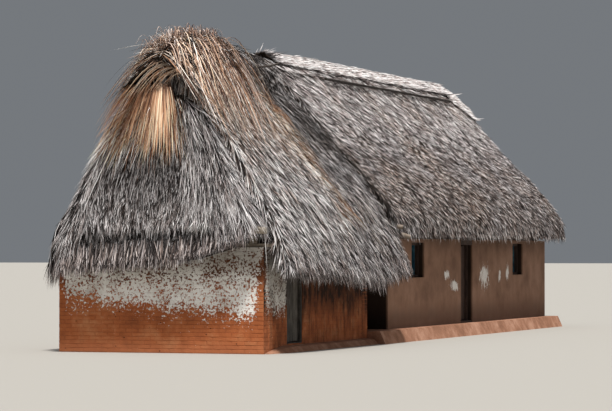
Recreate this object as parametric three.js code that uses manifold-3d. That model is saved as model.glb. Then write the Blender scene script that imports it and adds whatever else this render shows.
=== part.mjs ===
// A thatched hut of mud and brick: a small kitchen block with a hipped gable, and a long house behind it,
// under one ridge line. Millimetres, +Z up, +X to the right of the kitchen's front wall, +Y towards the back.
import * as THREE from "three";
import { mergeVertices } from "three/addons/utils/BufferGeometryUtils.js";
import Module from "manifold-3d";

const wasm = await Module();
wasm.setup();

// Driving dimensions
const SEAT = 0.3; // gap left between touching faces
const HALF_WIDTH = 1930; // from the ridge line to the outer face of a side wall

const KITCHEN = { y0: 0, y1: 5700, floor: 120, foot: 0, wallTop: 1850, wall: 280 };
const HOUSE = { y0: 7000, y1: 19200, floor: 250, foot: 250 + SEAT, wallTop: 2037.7, wall: 300 };
// Where the two roofs meet they lean back towards the kitchen as they rise, and so does the house's far end.
// The y of each leaning end is at the height eaveZ.
const KITCHEN_ROOF = { y0: 0, y1: 6314, lean: 0.39 };
const HOUSE_ROOF = { y0: 6317, y1: 19730, eaveZ: 2060, nearLean: 0.39, lean: 0.297 };

const PLATE = { x: 1725, z: 2108, r: 70 };
const RIDGE_POLE = { z: 4449, r: 70 };
const RAFTER = { r: 45, tailX: 1852, sides: 6 };
const PURLIN = { r: 32.5, sink: 5, xs: [300, 850, 1380, 1840], sides: 6 };
const RAFTER_FOOT_LINE = 4567; // height of the rafters' underside at the ridge line
const PITCH = Math.atan(1.357);
const TIE = { r: 60, halfLength: 1760 };
const GABLE_POST = { r: 35, y: 70 };
const BATTEN_R = 20;
const END_FRAME = { y: 19290, z: 2060, lean: 0.235, postR: 40, postXs: [-900, 0, 900], plateY: 19130, plateR: 60 };

const KITCHEN_DOOR = { y0: 1170, y1: 1990, frameX0: 1820, frameX1: 1920, head: 1700, sill: 40 };
const HOUSE_DOOR = { y0: 12100, y1: 13000, frameX0: 1720, frameX1: 1820, head: 1920, sill: 40 };
const JAMB = 60;
const LEAF = { t: 40, pivotGap: 36, pivotInset: 22, farGap: 10, footGap: 12, pivotR: 18 };
const LEDGE = { t: 25, h: 110, inset: 60, rise: 220 };

const WINDOW = { sill: 1250, head: 1960, recess: 120, frame: 55, depth: 70, leafT: 28 };
const FRONT_WINDOWS = [
  { name: "near_window", y0: 8570, y1: 9440, standsOpen: true },
  { name: "far_window", y0: 16300, y1: 17180, standsOpen: true },
];
const BACK_WINDOW = { name: "back_window", y0: 12700, y1: 13560, standsOpen: false };

const BOND = { h: 60, w: 200, inset: 70, frontY: 30, overhang: 150, stub: 140 };
const GABLE_THATCH = { foot: 420, lean: 0.082 }; // depth at its lower edge, and how much less per unit of height
const HOUSE_CAP_TOP = 5690;
const RIDGE_BATTEN = { r: 24, y0: 7600, y1: 16400 };

// Finishes
const finishes = {
  brick: { color: 0x9c4a2c, roughness: 0.95 },
  plaster: { color: 0x8a6449, roughness: 0.95 },
  earth: { color: 0x8f4e33, roughness: 1.0 },
  wood: { color: 0x6d645a, roughness: 0.85 },
  doorWood: { color: 0x57524b, roughness: 0.85 },
  shutterPaint: { color: 0x1f4a55, roughness: 0.7 },
  greyThatch: { color: 0x8b8178, roughness: 1.0 },
  tanThatch: { color: 0xa88862, roughness: 1.0 },
};

// Geometry helpers
function boxOf(x0, x1, y0, y1, z0, z1) {
  const geometry = new THREE.BoxGeometry(x1 - x0, y1 - y0, z1 - z0);
  return geometry.translate((x0 + x1) / 2, (y0 + y1) / 2, (z0 + z1) / 2);
}

// A closed outline of [x, z] points, drawn out along Y.
function outlineAlongY(points, y0, y1) {
  const shape = new THREE.Shape(points.map(([x, z]) => new THREE.Vector2(x, z)));
  const geometry = new THREE.ExtrudeGeometry(shape, { depth: y1 - y0, bevelEnabled: false });
  return geometry.rotateX(Math.PI / 2).translate(0, y1, 0);
}

// A round pole between two points, with one of its edges facing along up.
function poleBetween(start, end, radius, sides, up) {
  const along = new THREE.Vector3().subVectors(end, start);
  const length = along.length();
  const direction = along.normalize();
  const side = new THREE.Vector3().crossVectors(direction, up).normalize();
  const facing = new THREE.Vector3().crossVectors(side, direction);
  const place = new THREE.Matrix4().makeBasis(side, direction, facing);
  place.setPosition(new THREE.Vector3().addVectors(start, end).multiplyScalar(0.5));
  return new THREE.CylinderGeometry(radius, radius, length, sides).applyMatrix4(place);
}

// Rings of [x, y, z] points joined one after another towards +Y, and closed with a face at each end.
function loft(outlines) {
  const flatOf = (ring) => ring.map(([x, , z]) => new THREE.Vector2(x, z));
  const clockwise = THREE.ShapeUtils.isClockWise(flatOf(outlines[0]));
  const rings = clockwise ? outlines.map((ring) => [...ring].reverse()) : outlines;
  const count = rings[0].length;
  const positions = rings.flat(2);
  const indices = [];
  for (let ring = 0; ring < rings.length - 1; ring++) {
    for (let i = 0; i < count; i++) {
      const next = (i + 1) % count;
      const a = ring * count + i;
      const b = ring * count + next;
      indices.push(a, a + count, b + count, a, b + count, b);
    }
  }
  for (const [a, b, c] of THREE.ShapeUtils.triangulateShape(flatOf(rings[0]), [])) {
    indices.push(a, b, c);
  }
  const last = (rings.length - 1) * count;
  for (const [a, b, c] of THREE.ShapeUtils.triangulateShape(flatOf(rings.at(-1)), [])) {
    indices.push(last + c, last + b, last + a);
  }
  const geometry = new THREE.BufferGeometry();
  geometry.setAttribute("position", new THREE.Float32BufferAttribute(positions, 3));
  geometry.setIndex(indices);
  return geometry;
}

// Booleans
function solidOf(geometry) {
  const bare = geometry.clone();
  bare.deleteAttribute("normal");
  bare.deleteAttribute("uv");
  const merged = mergeVertices(bare, 1e-3);
  const mesh = new wasm.Mesh({
    numProp: 3,
    vertProperties: new Float32Array(merged.attributes.position.array),
    triVerts: new Uint32Array(merged.index.array),
  });
  return new wasm.Manifold(mesh);
}

function geometryOf(solid) {
  const mesh = solid.getMesh();
  const geometry = new THREE.BufferGeometry();
  geometry.setAttribute("position", new THREE.Float32BufferAttribute(mesh.vertProperties, 3));
  geometry.setIndex(Array.from(mesh.triVerts));
  return geometry.toNonIndexed();
}

function joined(geometries) {
  return geometryOf(geometries.map(solidOf).reduce((whole, piece) => whole.add(piece)));
}

function cut(geometry, cutters) {
  return geometryOf(cutters.map(solidOf).reduce((rest, tool) => rest.subtract(tool), solidOf(geometry)));
}

// The hut, and how a named piece joins it
const hut = new THREE.Group();

function place(name, finish, geometry) {
  const material = new THREE.MeshStandardMaterial({ ...finishes[finish], metalness: 0 });
  const mesh = new THREE.Mesh(geometry, material);
  mesh.name = name;
  hut.add(mesh);
}

// The rammed earth: the kitchen's floor with a ledge outside its door, and the house's plinth
function buildEarth() {
  const inner = HALF_WIDTH - KITCHEN.wall - SEAT;
  const near = KITCHEN.y0 + KITCHEN.wall + SEAT;
  const far = KITCHEN.y1 - KITCHEN.wall - SEAT;
  const wallFace = HALF_WIDTH + SEAT;
  const slab = boxOf(-inner, inner, near, far, 0, KITCHEN.floor);
  const doorway = boxOf(inner - 50, wallFace + 50, KITCHEN_DOOR.y0 + SEAT, KITCHEN_DOOR.y1 - SEAT, 0, KITCHEN.floor);
  const ledgeAt = (y, reach, rise) =>
    [[wallFace, y, 0], [wallFace + reach, y, 0], [wallFace + 0.6 * reach, y, 0.8 * rise], [wallFace, y, rise]];
  const ledge = loft([ledgeAt(60, 90, 15), ledgeAt(900, 220, KITCHEN.floor), ledgeAt(KITCHEN.y1, 240, KITCHEN.floor)]);
  place("kitchen_floor", "earth", joined([slab, doorway, ledge]));

  const left = -HALF_WIDTH - 70;
  const right = HALF_WIDTH + 260;
  const plinth = [[left - 60, 0], [right + 110, 0], [right, HOUSE.floor], [left, HOUSE.floor]];
  place("house_plinth", "earth", outlineAlongY(plinth, KITCHEN.y1 + SEAT, HOUSE.y1 + 240));
}

// The kitchen's brick walls
function buildKitchenWalls() {
  const { y0, y1, foot, wallTop, wall } = KITCHEN;
  const inner = HALF_WIDTH - wall;
  const door = KITCHEN_DOOR;
  place("kitchen_front_wall", "brick", boxOf(-HALF_WIDTH, HALF_WIDTH, y0, y0 + wall, foot, wallTop));
  place("kitchen_back_wall", "brick", boxOf(-HALF_WIDTH, HALF_WIDTH, y1 - wall, y1, foot, wallTop));
  const near = y0 + wall + SEAT;
  const far = y1 - wall - SEAT;
  place("kitchen_left_wall", "brick", boxOf(-HALF_WIDTH, -inner, near, far, foot, wallTop));
  place("kitchen_right_wall_near", "brick", boxOf(inner, HALF_WIDTH, near, door.y0, foot, wallTop));
  place("kitchen_right_wall_far", "brick", boxOf(inner, HALF_WIDTH, door.y1, far, foot, wallTop));
}

// The squared timbers on the kitchen walls, with short stubs that lift the wall plates
function buildKitchenBondBeam() {
  const z0 = KITCHEN.wallTop + SEAT;
  const z1 = z0 + BOND.h;
  const outer = HALF_WIDTH - BOND.inset;
  const inner = outer - BOND.w;
  const front = boxOf(-outer, HALF_WIDTH + BOND.overhang, BOND.frontY, BOND.frontY + BOND.w, z0, z1);
  const backY = KITCHEN.y1 - BOND.frontY;
  const back = boxOf(-outer, outer, backY - BOND.w, backY, z0, z1);
  const sides = [-1, 1].map((s) => {
    const xs = [s * inner, s * outer].sort((a, b) => a - b);
    return boxOf(xs[0], xs[1], BOND.frontY + 5, backY - 5, z0, z1);
  });
  const stubs = [];
  const half = BOND.stub / 2;
  for (const x of [-PLATE.x, PLATE.x]) {
    for (const y of [BOND.frontY + half, KITCHEN.y1 / 2, backY - half]) {
      stubs.push(boxOf(x - half, x + half, y - half + 1, y + half - 1, z1 - 10, PLATE.z - PLATE.r - SEAT));
    }
  }
  place("kitchen_bond_beam", "wood", joined([front, back, ...sides, ...stubs]));
}

// The house's plastered walls
function buildHouseWalls() {
  const { y0, y1, foot, wallTop, wall } = HOUSE;
  const inner = HALF_WIDTH - wall;
  const hole = (w, x0, x1) => boxOf(x0 - 50, x1 + 50, w.y0, w.y1, WINDOW.sill, WINDOW.head);
  const door = HOUSE_DOOR;
  const nearWall = boxOf(inner, HALF_WIDTH, y0, door.y0, foot, wallTop);
  const farWall = boxOf(inner, HALF_WIDTH, door.y1, y1, foot, wallTop);
  const backWall = boxOf(-HALF_WIDTH, -inner, y0, y1, foot, wallTop);
  place("house_front_wall_near", "plaster", cut(nearWall, [hole(FRONT_WINDOWS[0], inner, HALF_WIDTH)]));
  place("house_front_wall_far", "plaster", cut(farWall, [hole(FRONT_WINDOWS[1], inner, HALF_WIDTH)]));
  place("house_back_wall", "plaster", cut(backWall, [hole(BACK_WINDOW, -HALF_WIDTH, -inner)]));

  const edge = inner - SEAT;
  const underRafters = (x) => RAFTER_FOOT_LINE - SEAT - Math.tan(PITCH) * x;
  const apex = RIDGE_POLE.z - RIDGE_POLE.r - SEAT;
  const apexHalf = (underRafters(0) - apex) / Math.tan(PITCH);
  const gable = [
    [-edge, foot], [edge, foot], [edge, underRafters(edge)],
    [apexHalf, apex], [-apexHalf, apex], [-edge, underRafters(edge)],
  ];
  place("house_gable_wall", "plaster", outlineAlongY(gable, y0, y0 + wall));
  place("house_end_wall", "plaster", boxOf(-edge, edge, y1 - wall, y1, foot, wallTop));
}

// A door frame of two jambs, a sill and a lintel as deep as the wall
function buildDoorFrame(name, door, block) {
  const inner = HALF_WIDTH - block.wall;
  const z0 = block.floor + SEAT;
  const y0 = door.y0 + SEAT;
  const y1 = door.y1 - SEAT;
  const lintel = boxOf(inner + 20, HALF_WIDTH - 8, y0, y1, door.head, block.wallTop - SEAT);
  const sill = boxOf(inner + 60, HALF_WIDTH - 12, y0, y1, z0, z0 + door.sill);
  const jambs = [y0, y1 - JAMB].map((y) =>
    boxOf(door.frameX0, door.frameX1, y, y + JAMB, z0 + door.sill - 10, door.head + 10));
  place(name, "wood", joined([lintel, sill, ...jambs]));
}

// A plank door that turns on wooden pivots at its foot and head
function buildDoorLeaf(name, door, block) {
  const axisX = (door.frameX0 + door.frameX1) / 2 - 20;
  const axisY = door.y0 + JAMB + LEAF.pivotGap;
  const y0 = axisY - LEAF.pivotInset;
  const y1 = door.y1 - JAMB - LEAF.farGap;
  const sillTop = block.floor + SEAT + door.sill;
  const z0 = sillTop + LEAF.footGap;
  const z1 = door.head - LEAF.footGap;
  const half = LEAF.t / 2;
  const pieces = [boxOf(axisX - half, axisX + half, y0, y1, z0, z1)];
  for (const z of [z0 + LEDGE.rise, z1 - LEDGE.rise - LEDGE.h]) {
    pieces.push(boxOf(axisX - half - LEDGE.t, axisX - half + 5, axisY + LEDGE.inset, y1 - 40, z, z + LEDGE.h));
  }
  const foot = new THREE.Vector3(axisX, axisY, sillTop + SEAT);
  const head = new THREE.Vector3(axisX, axisY, door.head - SEAT);
  pieces.push(poleBetween(foot, head, LEAF.pivotR, 10, new THREE.Vector3(0, 1, 0)));
  place(name, "doorWood", joined(pieces));
}

// A window frame set back in the wall. Its shutters are shut, or the second leaf stands open into the room.
function buildWindow(window, side) {
  const outerFace = side * (HALF_WIDTH - WINDOW.recess);
  const innerFace = outerFace - side * WINDOW.depth;
  const y0 = window.y0 + SEAT;
  const y1 = window.y1 - SEAT;
  const z0 = WINDOW.sill + SEAT;
  const z1 = WINDOW.head - SEAT;
  const f = WINDOW.frame;
  const between = (a, b, ...rest) => boxOf(Math.min(a, b), Math.max(a, b), ...rest);
  const ring = between(outerFace, innerFace, y0, y1, z0, z1);
  const hole = between(outerFace + side, innerFace - side, y0 + f, y1 - f, z0 + f, z1 - f);
  place(window.name + "_frame", "wood", cut(ring, [hole]));

  const foot = z0 + f + SEAT;
  const head = z1 - f - SEAT;
  const leafFace = (outerFace + innerFace) / 2 + side * (WINDOW.leafT / 2);
  const leafBack = leafFace - side * WINDOW.leafT;
  if (!window.standsOpen) {
    place(window.name + "_shutters", "shutterPaint", between(leafFace, leafBack, y0 + f + SEAT, y1 - f - SEAT, foot, head));
    return;
  }
  const middle = (y0 + y1) / 2;
  const first = between(leafFace, leafBack, y0 + f + SEAT, middle - SEAT, foot, head);
  place(window.name + "_shutter_1", "shutterPaint", first);
  const width = (y1 - y0) / 2 - f;
  const open = between(innerFace - side * SEAT, innerFace - side * width, y1 - f - WINDOW.leafT, y1 - f, foot, head);
  place(window.name + "_shutter_2", "shutterPaint", open);
}

// Poles of the roof
const UP = new THREE.Vector3(0, 0, 1);

function poleAlongY(x, z, radius, y0, y1, sides = 8, up = UP) {
  return poleBetween(new THREE.Vector3(x, y0, z), new THREE.Vector3(x, y1, z), radius, sides, up);
}

function buildPlates() {
  for (const [side, s] of [["left", -1], ["right", 1]]) {
    const nearEnd = s > 0 ? -160 : 5;
    place("kitchen_plate_" + side, "wood", poleAlongY(s * PLATE.x, PLATE.z, PLATE.r, nearEnd, 6250));
    place("house_plate_" + side, "wood", poleAlongY(s * PLATE.x, PLATE.z, PLATE.r, 6430, 19240));
  }
}

// A tie beam across the wall plates with a post that carries the ridge pole
function buildTruss(name, y) {
  const z = PLATE.z + PLATE.r + TIE.r + SEAT;
  const tie = poleBetween(
    new THREE.Vector3(-TIE.halfLength, y, z), new THREE.Vector3(TIE.halfLength, y, z), TIE.r, 8, UP);
  const post = poleBetween(
    new THREE.Vector3(0, y, z), new THREE.Vector3(0, y, RIDGE_POLE.z - RIDGE_POLE.r - SEAT), TIE.r, 8,
    new THREE.Vector3(0, 1, 0));
  place(name, "wood", joined([tie, post]));
}

// Points on a slope: lift is measured square to the rafters' underside
const normalOf = (s) => new THREE.Vector3(s * Math.sin(PITCH), 0, Math.cos(PITCH));
const onSlope = (s, x, lift, y) =>
  new THREE.Vector3(s * x, y, RAFTER_FOOT_LINE - Math.tan(PITCH) * x).addScaledVector(normalOf(s), lift);
const PURLIN_LIFT = 2 * RAFTER.r - PURLIN.sink + PURLIN.r;

// The rafters and purlins of one slope, fused where they cross. A rafter is [y at the ridge, y at the eave].
function buildRafters(name, s, rafters, y0, farEnd) {
  const normal = normalOf(s);
  const bars = [];
  for (const [ridgeY, eaveY] of rafters) {
    const top = onSlope(s, -60, RAFTER.r, ridgeY);
    bars.push(poleBetween(top, onSlope(s, RAFTER.tailX, RAFTER.r, eaveY), RAFTER.r, RAFTER.sides, normal));
  }
  for (const x of PURLIN.xs) {
    const end = onSlope(s, x, PURLIN_LIFT, 0);
    end.y = farEnd(end.z);
    bars.push(poleBetween(onSlope(s, x, PURLIN_LIFT, y0), end, PURLIN.r, PURLIN.sides, normal));
  }
  const otherSide = boxOf(s > 0 ? -900 : -1, s > 0 ? 1 : 900, y0 - 50, 20000, 3000, 6000);
  place(name, "wood", cut(joined(bars), [otherSide]));
}

// A thin rod across a gable, one edge towards the thatch it holds
const batten = (half, y, z) =>
  poleBetween(new THREE.Vector3(-half, y, z), new THREE.Vector3(half, y, z), BATTEN_R, 6, new THREE.Vector3(0, 1, 0));

// Studs on the kitchen's front wall that carry the ends of the purlins, with battens for the gable thatch
function buildKitchenGableFrame() {
  const foot = KITCHEN.wallTop + SEAT + BOND.h + SEAT;
  const bars = [];
  for (const x of PURLIN.xs.slice(0, 3)) {
    for (const s of [-1, 1]) {
      const purlin = onSlope(s, x, PURLIN_LIFT, GABLE_POST.y);
      const head = purlin.clone().setZ(purlin.z - PURLIN.r);
      const base = purlin.clone().setZ(foot);
      bars.push(poleBetween(base, head, GABLE_POST.r, 8, new THREE.Vector3(0, 1, 0)));
    }
  }
  for (const z of [2560, 3080, 3600, 4020]) {
    const half = (RAFTER_FOOT_LINE - z) / Math.tan(PITCH) + 20;
    bars.push(batten(half, BATTEN_R, z));
  }
  place("kitchen_gable_frame", "wood", joined(bars));
}

// Leaning posts and battens over the house's end wall, on a plate of their own
const endFrameY = (z) => END_FRAME.y - END_FRAME.lean * (z - END_FRAME.z);

function buildHouseEndFrame() {
  const plateZ = HOUSE.wallTop + SEAT + END_FRAME.plateR;
  const plateHalf = PLATE.x - PLATE.r - 5;
  const bars = [poleBetween(
    new THREE.Vector3(-plateHalf, END_FRAME.plateY, plateZ), new THREE.Vector3(plateHalf, END_FRAME.plateY, plateZ),
    END_FRAME.plateR, 8, UP)];
  const postBack = 2 * BATTEN_R - 5 + END_FRAME.postR;
  for (const x of END_FRAME.postXs) {
    const slopeTop = RAFTER_FOOT_LINE - Math.tan(PITCH) * Math.abs(x) - 70;
    const headZ = x === 0 ? RIDGE_POLE.z - RIDGE_POLE.r - 12 : slopeTop;
    const footZ = plateZ + 10;
    bars.push(poleBetween(
      new THREE.Vector3(x, endFrameY(footZ) - postBack, footZ), new THREE.Vector3(x, endFrameY(headZ) - postBack, headZ),
      END_FRAME.postR, 8, new THREE.Vector3(0, 1, 0)));
  }
  for (const z of [2560, 3120, 3680]) {
    const half = (RAFTER_FOOT_LINE - z) / Math.tan(PITCH) - 60;
    bars.push(batten(half, endFrameY(z) - BATTEN_R - SEAT, z));
  }
  place("house_end_frame", "wood", joined(bars));
}

function evenly(first, last, count) {
  return Array.from({ length: count }, (_, i) => first + ((last - first) * i) / (count - 1));
}

// Thatch. Half profiles are [x, z] points from the ridge down the outside, and back up the inside.
const LATTICE = 2 * RAFTER.r + 2 * PURLIN.r - PURLIN.sink + SEAT;
const insideRidge = RAFTER_FOOT_LINE + LATTICE / Math.cos(PITCH);
const insideAt = (x) => insideRidge - Math.tan(PITCH) * x;

const kitchenInside = [[2045, insideAt(2045)], [0.5, insideAt(0.5)]];
const smokeInside = [[2045, insideAt(2045)], [0.5, insideAt(0) + 200]];
const profiles = {
  kitchenRight: [[0.5, 5400], [400, 4990], [1080, 4150], [1680, 3350], [2080, 2770], [2380, 2100],
    [2580, 1430], [2360, 1270], [2180, 1750], ...kitchenInside],
  kitchenRightNear: [[0.5, 5400], [470, 5050], [860, 4400], [1260, 3720], [1760, 2900], [2160, 2200],
    [2480, 1450], [2320, 1270], [2160, 1750], ...smokeInside],
  kitchenLeft: [[0.5, 5400], [300, 4990], [930, 4150], [1530, 3350], [1900, 2790], [2160, 2150],
    [2310, 1480], [2130, 1330], [2085, 1780], ...kitchenInside],
  kitchenLeftNear: [[0.5, 5400], [350, 5050], [700, 4400], [1090, 3720], [1590, 2880], [2090, 2150],
    [2220, 1500], [2120, 1360], [2075, 1780], ...smokeInside],
  house: [[0.5, 5600], [240, 5420], [440, 5100], [1150, 4090], [2020, 3030], [2360, 2440], [2330, 2060],
    [2065, insideAt(2065)], [0.5, insideAt(0.5)]],
  houseEnd: [[0.5, 5230], [200, 5070], [380, 4790], [1150, 3960], [2020, 3000], [2360, 2440], [2330, 2060],
    [2065, insideAt(2065)], [0.5, insideAt(0.5)]],
};

// One slope of thatch through its stations: each a profile, its y at the eave, and how far it leans as it rises
function slope(s, stations) {
  const ringOf = ({ profile, y, lean = 0 }) =>
    profile.map(([x, z]) => [s * x, y - lean * (z - HOUSE_ROOF.eaveZ), z]);
  return loft(stations.map(ringOf));
}

const raised = (geometry) => geometry.clone().translate(0, 0, SEAT);

const CAP_LOW = [420, 500];
const CAP_SHOULDER = [270, 190];
const houseCap = (top) => [[-430, top - 600], [0, top - 300], [430, top - 600], [CAP_LOW[0], top - CAP_LOW[1]],
  [CAP_SHOULDER[0], top - CAP_SHOULDER[1]], [110, top], [-110, top], [-CAP_SHOULDER[0], top - CAP_SHOULDER[1]],
  [-CAP_LOW[0], top - CAP_LOW[1]]];

// A ridge cap's outline of [x, z] points, set at y, or leaning back with height
const capRing = (outline, y, lean = 0) => outline.map(([x, z]) => [x, y - lean * (z - HOUSE_ROOF.eaveZ), z]);

function buildKitchenThatch() {
  const { y0, y1, lean } = KITCHEN_ROOF;
  const p = profiles;
  const fullAt = 1000;
  const right = slope(1, [
    { profile: p.kitchenRightNear, y: y0 }, { profile: p.kitchenRight, y: fullAt }, { profile: p.kitchenRight, y: y1, lean }]);
  const left = slope(-1, [
    { profile: p.kitchenLeftNear, y: y0 }, { profile: p.kitchenLeft, y: fullAt }, { profile: p.kitchenLeft, y: y1, lean }]);
  place("kitchen_thatch_right", "greyThatch", right);
  place("kitchen_thatch_left", "greyThatch", left);

  // The crown comes down in a round nose over the smoke hole, and is highest further back
  const nose = [[-650, 4560], [0, 5080], [840, 4560], [700, 4880], [480, 5140], [230, 5290], [-130, 5250],
    [-370, 5010], [-570, 4740]];
  const brow = [[-720, 4560], [0, 5080], [840, 4560], [690, 4980], [470, 5340], [230, 5560], [-130, 5560],
    [-390, 5310], [-600, 4960]];
  const cap = [[-760, 4560], [0, 5080], [840, 4560], [690, 5000], [470, 5420], [230, 5680], [-130, 5700],
    [-390, 5420], [-620, 5000]];
  const farCap = [[-620, 4760], [0, 5080], [620, 4760], [520, 5000], [340, 5350], [130, 5560], [-130, 5560],
    [-340, 5350], [-520, 5000]];
  const whole = loft([capRing(nose, -300), capRing(brow, 550), capRing(cap, 1500), capRing(cap, 2200),
    capRing(farCap, 4200), capRing(farCap, y1, lean)]);
  place("kitchen_ridge_thatch", "tanThatch", cut(whole, [raised(right), raised(left)]));
}

// The thatched front of the kitchen roof, below the smoke hole. Its face leans back as it rises.
function buildGableThatch() {
  const back = [[-1960, 1400], [-1150, 1430], [-220, 1500], [780, 1570], [1400, 1770], [1610, 1990],
    [1640, 2190], [1900, 2215], [1830, 2500], [1600, 2850], [1230, 3560], [860, 4280], [480, 4560],
    [-380, 4560], [-720, 4280], [-1070, 3700], [-1530, 2840], [-1900, 2100]];
  const front = [[-1730, 1430], [-1150, 1450], [-220, 1520], [780, 1600], [1350, 1810], [1560, 2020],
    [1600, 2210], [1800, 2240], [1740, 2520], [1500, 2850], [1140, 3560], [780, 4230], [440, 4500],
    [-340, 4500], [-650, 4230], [-970, 3700], [-1380, 2840], [-1670, 2100]];
  const depthAt = (z) => GABLE_THATCH.foot - GABLE_THATCH.lean * (z - front[0][1]);
  const frontRing = front.map(([x, z]) => [x, -depthAt(z), z]);
  const backRing = back.map(([x, z]) => [x, -SEAT, z]);
  place("kitchen_gable_thatch", "greyThatch", loft([frontRing, backRing]));
}

// The thatched far end of the house: a leaning slab between the two slopes
function buildHouseEndThatch() {
  const top = 4760;
  const foot = 2020;
  const margin = 3;
  const halfAt = (z) => (insideRidge - z) / Math.tan(PITCH) - margin;
  const outline = [[-halfAt(2060), 2060], [-1500, foot], [1500, foot], [halfAt(2060), 2060],
    [halfAt(top), top], [-halfAt(top), top]];
  const inside = outline.map(([x, z]) => [x, endFrameY(z), z]);
  const outside = outline.map(([x, z]) => [x, HOUSE_ROOF.y1 - HOUSE_ROOF.lean * (z - HOUSE_ROOF.eaveZ), z]);
  place("house_end_thatch", "greyThatch", loft([inside, outside]));
}

function buildHouseThatch() {
  const { y0, y1, nearLean, lean } = HOUSE_ROOF;
  const p = profiles;
  const stations = [{ profile: p.house, y: y0, lean: nearLean }, { profile: p.house, y: 16500 },
    { profile: p.houseEnd, y: y1, lean }];
  const right = slope(1, stations);
  const left = slope(-1, stations);
  place("house_thatch_right", "greyThatch", right);
  place("house_thatch_left", "greyThatch", left);

  const whole = loft([
    capRing(houseCap(5660), y0 + SEAT, nearLean), capRing(houseCap(HOUSE_CAP_TOP), RIDGE_BATTEN.y0 - 100),
    capRing(houseCap(HOUSE_CAP_TOP), RIDGE_BATTEN.y1 + 100), capRing(houseCap(5560), 17600),
    capRing(houseCap(5330), y1 - 40, lean)]);
  place("house_ridge_thatch", "greyThatch", cut(whole, [raised(right), raised(left)]));
}

// Poles that hold the ridge thatch down, one on each side, lying on the cap's lower faces
function buildRidgeBattens() {
  for (const [side, s] of [["left", -1], ["right", 1]]) {
    const normal = new THREE.Vector3(s * (CAP_LOW[1] - CAP_SHOULDER[1]), 0, CAP_LOW[0] - CAP_SHOULDER[0]).normalize();
    const at = (y) => new THREE.Vector3(s * CAP_LOW[0], y, HOUSE_CAP_TOP - CAP_LOW[1])
      .lerp(new THREE.Vector3(s * CAP_SHOULDER[0], y, HOUSE_CAP_TOP - CAP_SHOULDER[1]), 0.12)
      .addScaledVector(normal, RIDGE_BATTEN.r + SEAT);
    const batten = poleBetween(at(RIDGE_BATTEN.y0), at(RIDGE_BATTEN.y1), RIDGE_BATTEN.r, 6, normal);
    place("house_ridge_batten_" + side, "wood", batten);
  }
}

buildEarth();
buildKitchenWalls();
buildKitchenBondBeam();
buildHouseWalls();
buildDoorFrame("kitchen_door_frame", KITCHEN_DOOR, KITCHEN);
buildDoorLeaf("kitchen_door", KITCHEN_DOOR, KITCHEN);
buildDoorFrame("house_door_frame", HOUSE_DOOR, HOUSE);
buildDoorLeaf("house_door", HOUSE_DOOR, HOUSE);
FRONT_WINDOWS.forEach((window) => buildWindow(window, 1));
buildWindow(BACK_WINDOW, -1);
buildPlates();
buildTruss("kitchen_truss_front", 420);
buildTruss("kitchen_truss_back", 5280);
buildTruss("house_truss_near", 10800);
buildTruss("house_truss_middle", 14600);
buildTruss("house_truss_far", 18300);
const straight = (y) => [y, y];
const kitchenRafters = evenly(700, 6200, 6).map(straight);
const endRafterY = (z) => endFrameY(z) - 130;
const endRafter = [endRafterY(RAFTER_FOOT_LINE), endRafterY(RAFTER_FOOT_LINE - Math.tan(PITCH) * RAFTER.tailX)];
const houseRafters = [...evenly(6620, 17700, 10).map(straight), endRafter];
for (const [side, s] of [["left", -1], ["right", 1]]) {
  buildRafters("kitchen_rafters_" + side, s, kitchenRafters, 20, () => 6380);
  buildRafters("house_rafters_" + side, s, houseRafters, 6430, (z) => endFrameY(z) - 20);
}
place("kitchen_ridge_pole", "wood", poleAlongY(0, RIDGE_POLE.z, RIDGE_POLE.r, 10, 6370));
place("house_ridge_pole", "wood", poleAlongY(0, RIDGE_POLE.z, RIDGE_POLE.r, 6430, endFrameY(RIDGE_POLE.z) - 30));
buildKitchenGableFrame();
buildHouseEndFrame();
buildKitchenThatch();
buildGableThatch();
buildHouseThatch();
buildHouseEndThatch();
buildRidgeBattens();

// The origin is on the ground, under the middle of the whole hut.
const extent = new THREE.Box3().setFromObject(hut);
const middle = extent.getCenter(new THREE.Vector3());
hut.position.set(-middle.x, -middle.y, -extent.min.z);

export default hut;
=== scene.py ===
"""The looks of a thatched hut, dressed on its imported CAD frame.

Palm-leaf thatch in loose strands, worn red earth brick under peeling limewash, earth plaster, weathered
boards and poles. Everything is in metres in the frame's own axes: +Z up, the doors on the +X side, the
kitchen in front.
"""

import math

import bmesh
import bpy
import numpy as np
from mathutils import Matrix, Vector, noise


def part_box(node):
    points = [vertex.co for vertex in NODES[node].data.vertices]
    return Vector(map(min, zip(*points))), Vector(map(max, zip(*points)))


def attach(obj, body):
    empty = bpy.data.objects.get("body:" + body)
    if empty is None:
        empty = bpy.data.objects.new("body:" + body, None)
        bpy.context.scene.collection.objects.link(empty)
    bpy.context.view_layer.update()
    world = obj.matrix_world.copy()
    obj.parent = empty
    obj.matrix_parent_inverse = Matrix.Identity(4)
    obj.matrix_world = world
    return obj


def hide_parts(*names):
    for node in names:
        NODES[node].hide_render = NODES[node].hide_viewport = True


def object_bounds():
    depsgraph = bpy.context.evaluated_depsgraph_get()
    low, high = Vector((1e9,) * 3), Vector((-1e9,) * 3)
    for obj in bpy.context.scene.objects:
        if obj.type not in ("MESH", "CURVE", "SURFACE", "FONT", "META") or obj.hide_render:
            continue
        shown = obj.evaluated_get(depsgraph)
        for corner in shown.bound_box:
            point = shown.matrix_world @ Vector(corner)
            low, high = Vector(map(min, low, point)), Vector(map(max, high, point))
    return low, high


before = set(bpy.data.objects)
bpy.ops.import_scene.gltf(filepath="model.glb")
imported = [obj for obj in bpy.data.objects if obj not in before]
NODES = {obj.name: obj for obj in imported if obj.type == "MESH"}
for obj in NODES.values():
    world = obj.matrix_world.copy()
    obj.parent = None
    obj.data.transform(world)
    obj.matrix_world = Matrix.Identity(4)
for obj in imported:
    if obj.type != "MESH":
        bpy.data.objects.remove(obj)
CAD_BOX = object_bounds()

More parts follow.
